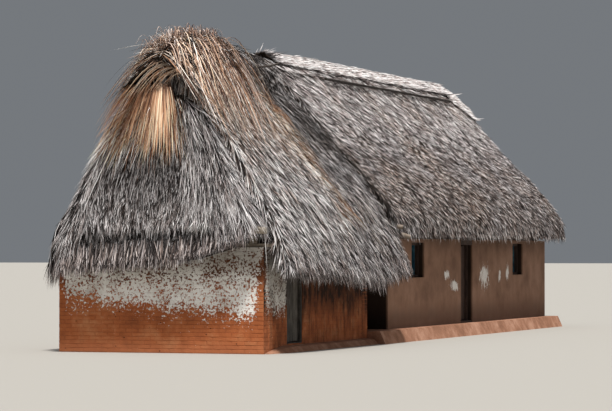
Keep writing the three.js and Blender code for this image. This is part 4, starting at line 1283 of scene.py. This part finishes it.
def fringe(node, run, outward, tips, count, seed):
    """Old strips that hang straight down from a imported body's rim, past its dark lower edge. The rim runs
    along one axis, faces out along the other, and tips says how low the strips reach at each place."""
    pick = np.random.default_rng(seed)
    places, lows, stands = rim_of(node, run, 1 - run, outward)
    specs = []
    for _ in range(count):
        place = pick.uniform(places[0], places[-1])
        low, stand = np.interp(place, places, lows), np.interp(place, places, stands)
        hangs = np.interp(place, *tips) + pick.uniform(-0.1, 0.18)
        root, tip = np.zeros(3), np.zeros(3)
        root[run], tip[run] = place, place + pick.normal(0.0, 0.06)
        root[1 - run] = stand - outward * pick.uniform(0.04, 0.12)
        tip[1 - run] = stand + outward * pick.uniform(0.03, 0.1)
        root[2], tip[2] = low + pick.uniform(0.1, 0.45), min(hangs, low + 0.03)
        shape = (hut_point(*root), hut_point(*tip), 0.02, pick.uniform(0.014, 0.028), 4)
        specs.append((shape, pick.uniform(-0.2, 0.85), pick.uniform(0.75, 1.0)))
    return specs


# How low the hanging strips reach: places along the rim, and the height of the tips there
GABLE_TIPS = ((-1.5, -0.36, 0.33, 0.75, 1.25, 1.6), (1.33, 1.46, 1.49, 1.66, 1.8, 1.82))
RIGHT_TIPS = ((0.0, 1.85, 4.2, 4.7, 5.2, 6.8), (1.36, 1.22, 1.06, 1.0, 1.14, 1.28))
LEFT_TIPS = ((0.0, 6.0), (KITCHEN_EAVE - 0.13, KITCHEN_EAVE - 0.13))
# The hanging fringes are darkened as painted shade, for strips that hang in the shade of the eaves
leaves("gable_fringe", fringe("kitchen_gable_thatch", 0, -1, GABLE_TIPS, 1000, 11), 0.35)
leaves("kitchen_right_fringe", fringe("kitchen_thatch_right", 1, 1, RIGHT_TIPS, 1300, 12), 0.3)
leaves("kitchen_left_fringe", fringe("kitchen_thatch_left", 1, -1, LEFT_TIPS, 700, 13), 0.3)
leaves("crown_leaves_right", many(right_leaf, 420, 5))
# The left crown leaves are made paler as painted light, for upright leaves that lie in shade
leaves("crown_leaves_left", many(left_leaf, 300, 7), -0.7)
leaves("smoke_hole_leaves", many(hole_leaf, 34, 6))
leaves("straw_fan_top", many(fan_leaf, 270, 9), -0.45)
leaves("crown_curls", many(stray_leaf, 260, 8))
leaves("newer_layer_edge", many(rim_leaf, 90, 10))


# Loose poles: one on the sooty ridge, two log ends where the roofs meet, a beam end at the front corner


def round_pole(start, end, radius, seed, rings=7, sides=9):
    """A peeled pole between two points: a little bent, never quite round, with flat sawn ends."""
    pick = np.random.default_rng(seed)
    start, end = np.array(start), np.array(end)
    run = end - start
    across = unit(np.cross(run, (0.0, 0.3, 1.0))[None, :])[0]
    upward = unit(np.cross(across, run)[None, :])[0]
    bend = (pick.uniform(-1, 1) * across + pick.uniform(-1, 1) * upward) * 0.03 * np.linalg.norm(run)
    points, faces = [], []
    for ring in range(rings + 1):
        t = ring / rings
        centre = start + run * t + bend * math.sin(math.pi * t)
        for side in range(sides):
            turn = 2 * math.pi * side / sides
            reach = radius * (1 - 0.12 * t) * pick.uniform(0.92, 1.08)
            points.append(centre + reach * (math.cos(turn) * across + math.sin(turn) * upward))
    for ring in range(rings):
        for side in range(sides):
            low, after = ring * sides, (side + 1) % sides
            faces.append((low + side, low + after, low + sides + after, low + sides + side))
    faces.append(tuple(reversed(range(sides))))
    faces.append(tuple(range(rings * sides, (rings + 1) * sides)))
    return points, faces


# Each pole's ends from the hut's own lines, its radius and its wood
LOOSE_POLES = {
    "front_beam_end": ((1.5, -0.2, 2.14), (2.05, -0.22, 2.13), 0.07, BEAM_WOOD),
    "pole_on_ridge": ((0.56, 3.25, 5.2), (0.42, 4.9, 5.38), 0.02, BATTEN_WOOD),
    "log_end_upper": ((1.8, 6.15, 2.3), (2.42, 6.42, 2.25), 0.05, POLE_WOOD),
    "log_end_lower": ((2.0, 6.3, 2.22), (2.44, 6.8, 2.06), 0.055, POLE_WOOD),
}
for number, (name, (start, end, radius, wood)) in enumerate(LOOSE_POLES.items()):
    points, faces = round_pole(hut_point(*start), hut_point(*end), radius, 50 + number)
    mesh = closed_mesh(name, points, faces)
    shade(mesh, 50)
    set_attribute(mesh, "tone", np.full(len(points), 0.8))
    settle(new_object(name, mesh, [wood]))


# Brick faces of the kitchen, laid a few millimetres proud of the walls' clay joints

BRICK_LENGTH = 0.225
BRICK_HEIGHT = 0.062
JOINT = 0.009
BRICK_DEPTH = 0.03
PROUD = 0.004
# How far the first course stands above the ground, and the shortest piece of brick that is laid
FIRST_COURSE = 0.004
SHORTEST_BRICK = 0.03


def brick_tree():
    """Lays one worn brick on each point of a wall face, at the point's own length, a little unevenly."""
    tree, given = new_tree("lay_bricks", {
        "Brick": ("NodeSocketObject", None),
        "Wall turn": ("NodeSocketFloat", 0.0),
        "Height": ("NodeSocketFloat", BRICK_HEIGHT),
        "Depth": ("NodeSocketFloat", BRICK_DEPTH),
        "Unevenness": ("NodeSocketFloat", 0.012),
        "Seed": ("NodeSocketInt", 1),
        "Material": ("NodeSocketMaterial", None),
    })
    run = add_node(tree, "GeometryNodeInputNamedAttribute", {"data_type": "FLOAT"}, {"Name": "run"})
    shape = add_node(tree, "GeometryNodeObjectInfo", {}, {"Object": given["Brick"]})
    size = add_node(tree, "ShaderNodeCombineXYZ", {}, {"X": run, "Y": given["Depth"], "Z": given["Height"]})
    vary = add_node(tree, "FunctionNodeRandomValue", {"data_type": "FLOAT_VECTOR"}, {
        0: (0.97, 0.88, 0.93), 1: (1.01, 1.2, 1.04), "Seed": given["Seed"],
    })
    worn = add_node(tree, "ShaderNodeVectorMath", MULTIPLY, {0: size, 1: vary})
    tip = add_node(tree, "FunctionNodeRandomValue", {"data_type": "FLOAT_VECTOR"}, {
        0: (-1.0, -1.0, -1.0), 1: (1.0, 1.0, 1.0), "Seed": 21,
    })
    uneven = add_node(tree, "ShaderNodeVectorMath", {"operation": "SCALE"}, {
        0: tip, "Scale": given["Unevenness"],
    })
    facing = add_node(tree, "ShaderNodeCombineXYZ", {}, {"Z": given["Wall turn"]})
    turned = add_node(tree, "ShaderNodeVectorMath", {"operation": "ADD"}, {0: uneven, 1: facing})
    bricks = add_node(tree, "GeometryNodeInstanceOnPoints", {}, {
        "Points": given["Geometry"], "Instance": shape.outputs["Geometry"], "Rotation": turned, "Scale": worn,
    })
    tone = add_node(tree, "FunctionNodeRandomValue", {"data_type": "FLOAT"}, {2: 0.0, 3: 1.0, "Seed": 22})
    toned = add_node(tree, "GeometryNodeStoreNamedAttribute", {"data_type": "FLOAT", "domain": "INSTANCE"}, {
        "Geometry": bricks, "Name": "tone", "Value": tone,
    })
    end_tree(tree, toned, given["Material"])
    return tree


BRICK_TREE = brick_tree()


def worn_brick():
    """One brick of unit size with the edges of its outer face, at -Y, rounded off."""
    solid = bmesh.new()
    bmesh.ops.create_cube(solid, size=1.0)
    outer = [edge for edge in solid.edges if all(v.co.y < 0 for v in edge.verts)]
    bmesh.ops.bevel(solid, geom=outer, offset=0.06, segments=1, affect="EDGES")
    bmesh.ops.recalc_face_normals(solid, faces=solid.faces)
    return mesh_of("worn_brick", solid)


def brick_face(name, corner, along, length, holes, material, seed):
    """A face of bricks in running bond. corner is its lowest outer corner and along its direction; holes are
    spans along the face, with their lowest and highest edge, that stay free."""
    across = Vector(along)
    outward = Vector((across.y, -across.x, 0))
    course = BRICK_HEIGHT + JOINT
    rows = int((WALL_TOP - corner.z) / course)
    centres, runs = [], []
    for row in range(rows):
        level = corner.z + (row + 0.5) * course + FIRST_COURSE
        start = -0.5 * (BRICK_LENGTH + JOINT) * (row % 2)
        while start < length:
            low, high = max(start, 0.0), min(start + BRICK_LENGTH, length)
            start += BRICK_LENGTH + JOINT
            for left, right, bottom, top in holes:
                if bottom < level < top:
                    if low < left < high:
                        high = left
                    if low < right < high:
                        low = right
                    if left <= low and high <= right:
                        high = low
            if high - low > SHORTEST_BRICK:
                middle = corner + across * ((low + high) / 2) + outward * (PROUD - BRICK_DEPTH / 2)
                centres.append((middle.x, middle.y, level))
                runs.append(high - low)
    mesh = bpy.data.meshes.new(name + "_points")
    mesh.from_pydata(centres, [], [])
    set_attribute(mesh, "run", np.array(runs))
    shape = new_object("worn_brick", worn_brick())
    values = {"Brick": shape, "Wall turn": math.atan2(across.y, across.x), "Seed": seed}
    bricks = grown(name + "_laying", mesh, BRICK_TREE, values, material)
    bpy.data.objects.remove(shape)
    return settle(new_object(name, bricks))


def door_hole(frame_node, corner, along):
    """The span that a door frame takes in a face, from its box."""
    low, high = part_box(frame_node)
    spans = sorted((point - corner).dot(Vector(along)) for point in (low, high))
    return spans[0], spans[1], low.z, high.z


FRONT_BRICK = earth_brick("earth_brick_front", RED_CLAY, FRONT_WASH)
SIDE_BRICK = earth_brick("earth_brick_side", RED_CLAY, SIDE_WASH)
LEFT_BRICK = earth_brick("earth_brick_left", RED_CLAY, PLAIN_WASH)
FRONT_JOINT = earth_brick("clay_joint_front", JOINT_CLAY, FRONT_WASH)
SIDE_JOINT = earth_brick("clay_joint_side", JOINT_CLAY, SIDE_WASH)
LEFT_JOINT = earth_brick("clay_joint_left", JOINT_CLAY, PLAIN_WASH)

front_corner = hut_point(-WALL_X, 0, 0)
right_corner = hut_point(WALL_X, 0, 0)
back_corner = hut_point(WALL_X, KITCHEN_BACK_Y, 0)
left_corner = hut_point(-WALL_X, KITCHEN_BACK_Y, 0)
KITCHEN_DOOR_HOLE = door_hole("kitchen_door_frame", right_corner, (0, 1, 0))
brick_face("front_bricks", front_corner, (1, 0, 0), 2 * WALL_X, [], FRONT_BRICK, 41)
brick_face("right_bricks", right_corner, (0, 1, 0), KITCHEN_BACK_Y, [KITCHEN_DOOR_HOLE], SIDE_BRICK, 42)
brick_face("back_bricks", back_corner, (-1, 0, 0), 2 * WALL_X, [], LEFT_BRICK, 43)
brick_face("left_bricks", left_corner, (0, -1, 0), KITCHEN_BACK_Y, [], LEFT_BRICK, 44)


# Door leaves of single boards

# Boards taller than this are cut so that they can bend, by so much in an upright board and in a ledge
UPRIGHT_LENGTH = 0.3
BOARD_BEND = 0.002
LEDGE_BEND = 0.001
# How far arrises are worn off, and how tone steps on from board to board
ARRIS = 0.003
TONE_STEP = 0.377
# How much one board ends higher, stands further back or ends lower than the next
FOOT_STEP = 0.004
FACE_STEP = 0.002
HEAD_STEP = 0.005
NAIL_RADIUS = 0.008
NAIL_FLATNESS = 0.45
NAIL_SUNK = 0.001
# Pegs: radius, how far they reach past the boards and into them, and where the axis lies in the leaf
PEG_RADIUS = 0.018
PEG_LENGTH = 0.012
PEG_HOLD = 0.03
PEG_INSET = 0.022
PEG_DEPTH = 0.02
# Ledges start far enough from the hinge edge to clear the jamb when the door stands open
LEDGE_START = 0.085
LEDGE_END = 0.04
LEDGE_HALF = 0.05
LEDGE_SET_IN = 0.002
BOARD_THICKNESS = 0.036
# Heights of the ledges in the leaf, and places of the nails across a board, as shares
QUARTERS = (0.25, 0.75)


def board(name, low, high, body_noise, seed):
    """One sawn board between two corners, its long edges not quite straight and its arrises worn."""
    solid = bmesh.new()
    bmesh.ops.create_cube(solid, size=1.0)
    size = Vector(high) - Vector(low)
    centre = (Vector(high) + Vector(low)) / 2
    bmesh.ops.scale(solid, vec=size, verts=solid.verts)
    tall = [edge for edge in solid.edges if abs((edge.verts[0].co - edge.verts[1].co).z) > 0.9 * size.z]
    if size.z > UPRIGHT_LENGTH:
        bmesh.ops.subdivide_edges(solid, edges=tall, cuts=9, use_grid_fill=True)
    arrises = [edge for edge in solid.edges if edge.calc_face_angle(0) > 1.0]
    bmesh.ops.bevel(solid, geom=arrises, offset=ARRIS, segments=2, affect="EDGES")
    bmesh.ops.translate(solid, vec=centre, verts=solid.verts)
    for vertex in solid.verts:
        vertex.co += body_noise * Vector((
            noise.noise(vertex.co * 4 + Vector((seed, 0, 0))),
            noise.noise(vertex.co * 4 + Vector((0, seed, 0))), 0,
        ))
    mesh = mesh_of(name, solid)
    set_attribute(mesh, "tone", np.full(len(mesh.vertices), (seed * TONE_STEP) % 1.0))
    shade(mesh, 40)
    return mesh


def nail_head(centre, rings=6, sides=8):
    """A hammered nail head, a flat dome facing +X. It is made point by point, because Blender's own sphere
    lists its faces in another order each time."""
    points = [(0, 0, NAIL_RADIUS), (0, 0, -NAIL_RADIUS)]
    for ring in range(1, rings):
        height = NAIL_RADIUS * math.cos(math.pi * ring / rings)
        reach = NAIL_RADIUS * math.sin(math.pi * ring / rings)
        for side in range(sides):
            turn = 2 * math.pi * side / sides
            points.append((NAIL_FLATNESS * reach * math.cos(turn), reach * math.sin(turn), height))
    last = 2 + (rings - 2) * sides
    faces = []
    for side in range(sides):
        after = (side + 1) % sides
        faces += [(0, 2 + side, 2 + after), (1, last + after, last + side)]
        for low in range(2, last, sides):
            faces.append((low + side, low + sides + side, low + sides + after, low + after))
    mesh = closed_mesh("nail", [Vector(point) + Vector(centre) for point in points], faces)
    shade(mesh, 60)
    return mesh


def pivot_peg(axis_x, axis_y, foot, head):
    """A round wooden peg along Z that the leaf turns on."""
    solid = bmesh.new()
    bmesh.ops.create_cone(
        solid, cap_ends=True, segments=12, radius1=PEG_RADIUS, radius2=PEG_RADIUS, depth=head - foot,
    )
    bmesh.ops.translate(solid, vec=(axis_x, axis_y, (foot + head) / 2), verts=solid.verts)
    mesh = mesh_of("peg", solid)
    set_attribute(mesh, "tone", np.full(len(mesh.vertices), 0.4))
    shade(mesh, 40)
    return mesh


def boarded_leaf(name, node, body, shares, material, seed, gap=0.005):
    """A door leaf that stands along Y: upright boards with gaps, two cross ledges behind them, nails through
    both, and a peg at foot and head. shares are the boards' widths as parts of the leaf."""
    low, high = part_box(node)
    foot = low.z + PEG_LENGTH
    head = high.z - PEG_LENGTH
    middle = high.x - PEG_DEPTH
    back = high.x - BOARD_THICKNESS
    levels = [foot + quarter * (head - foot) for quarter in QUARTERS]
    meshes = []
    nails = []
    edge = low.y
    for number, share in enumerate(shares):
        width = (high.y - low.y) * share / sum(shares)
        corner = (back, edge + gap / 2, foot + FOOT_STEP * (number % 2))
        far = (high.x - FACE_STEP * (number % 2), edge + width - gap / 2, head - HEAD_STEP * (number % 3))
        meshes.append(board(name + "_board", corner, far, BOARD_BEND, seed + number))
        for level in levels:
            for side in QUARTERS:
                nails.append(nail_head((high.x - NAIL_SUNK, edge + width * side, level)))
        edge += width
    for number, level in enumerate(levels):
        corner = (low.x + LEDGE_SET_IN, low.y + LEDGE_START, level - LEDGE_HALF)
        far = (back, high.y - LEDGE_END, level + LEDGE_HALF)
        meshes.append(board(name + "_ledge", corner, far, LEDGE_BEND, seed + 20 + number))
    axis_y = low.y + PEG_INSET
    meshes.append(pivot_peg(middle, axis_y, low.z, foot + PEG_HOLD))
    meshes.append(pivot_peg(middle, axis_y, head - PEG_HOLD, high.z))
    piece = new_object(name, joined(meshes))
    piece.data.materials.append(material)
    settle(piece, body, [node])
    heads = new_object(name + "_nails", joined(nails))
    heads.data.materials.append(IRON)
    settle(heads, body)


boarded_leaf("kitchen_door_boards", "kitchen_door", "kitchen_door", (0.62, 0.38), DOOR_WOOD, 51, 0.022)
boarded_leaf("house_door_boards", "house_door", "house_door", (0.28, 0.24, 0.26, 0.22), DARK_WOOD, 61)


# Materials of the CAD nodes that stay

FINISHES = {
    "kitchen_floor": EARTH, "house_plinth": EARTH,
    "kitchen_front_wall": FRONT_JOINT, "kitchen_back_wall": LEFT_JOINT, "kitchen_left_wall": LEFT_JOINT,
    "kitchen_right_wall_near": SIDE_JOINT, "kitchen_right_wall_far": SIDE_JOINT,
    "kitchen_bond_beam": BEAM_WOOD,
    "house_front_wall_near": PLASTER, "house_front_wall_far": PLASTER, "house_back_wall": PLASTER,
    "house_gable_wall": PLASTER, "house_end_wall": PLASTER,
    "kitchen_door_frame": DOOR_WOOD, "house_door_frame": DARK_WOOD,
}
# Nodes whose names end so; every other pole is a smoked rafter
FINISHES_BY_ENDING = {
    "_window_frame": DARK_WOOD, "_shutter_1": PAINT, "_shutter_2": PAINT, "_shutters": PAINT,
    "_plate_left": POLE_WOOD, "_plate_right": POLE_WOOD, "_ridge_pole": POLE_WOOD,
    "_batten_left": BATTEN_WOOD, "_batten_right": BATTEN_WOOD,
}
for name, node in NODES.items():
    finish = FINISHES.get(name)
    for ending, material in FINISHES_BY_ENDING.items():
        if name.endswith(ending):
            finish = material
    node.data.materials.clear()
    node.data.materials.append(finish or RAFTER_WOOD)


# Floor, light and camera

FLOOR_HALF = 400.0
floor_mesh = bpy.data.meshes.new("pale_floor")
floor_corners = [(FLOOR_HALF * x, FLOOR_HALF * y, 0) for x, y in ((-1, -1), (1, -1), (1, 1), (-1, 1))]
floor_mesh.from_pydata(floor_corners, [], [(0, 1, 2, 3)])
floor_material, floor_tree, floor_shader, _ = new_material("pale_matt_floor")
connect(floor_tree, floor_shader, {"Base Color": linear("#9c9891"), "Roughness": 0.9})
floor = new_object("pale_floor", floor_mesh, [floor_material])

world = bpy.data.worlds.new("soft_studio")
bpy.context.scene.world = world
world.use_nodes = True
background = world.node_tree.nodes["Background"]
connect(world.node_tree, background, {"Color": linear("#dfe6ee"), "Strength": 0.24})


def lamp(name, strength, spread, comes_from, colour):
    """A wide soft light from far away, from that direction, spread over that many degrees."""
    light = bpy.data.lights.new(name, "SUN")
    light.energy = strength
    light.angle = math.radians(spread)
    light.color = colour
    holder = bpy.data.objects.new(name, light)
    bpy.context.scene.collection.objects.link(holder)
    holder.rotation_mode = "QUATERNION"
    holder.rotation_quaternion = Vector(comes_from).to_track_quat("Z", "Y")


lamp("soft_key", 4.9, 7, (0.25, -0.42, 1.3), (1.0, 0.98, 0.95))
lamp("soft_top", 1.1, 80, (0.05, -0.25, 1.0), (0.95, 0.97, 1.0))

CAMERA_PLACE = Vector((18.47, -54.49, 1.75))
CAMERA_YAW = math.radians(19.5)
CAMERA_PITCH = math.radians(0.98)
SENSOR_MM = 36.0
# The focal length and the image's width, both in pixels
FOCAL_PIXELS = 2770
IMAGE_WIDTH = 612
camera = bpy.data.cameras.new("camera")
camera.sensor_width = SENSOR_MM
camera.lens = SENSOR_MM * FOCAL_PIXELS / IMAGE_WIDTH
camera.clip_end = 2000.0
eye = bpy.data.objects.new("camera", camera)
bpy.context.scene.collection.objects.link(eye)
eye.location = CAMERA_PLACE
eye.rotation_euler = (math.radians(90) + CAMERA_PITCH, 0.0, CAMERA_YAW)
bpy.context.scene.camera = eye
bpy.context.scene.view_settings.view_transform = "Standard"
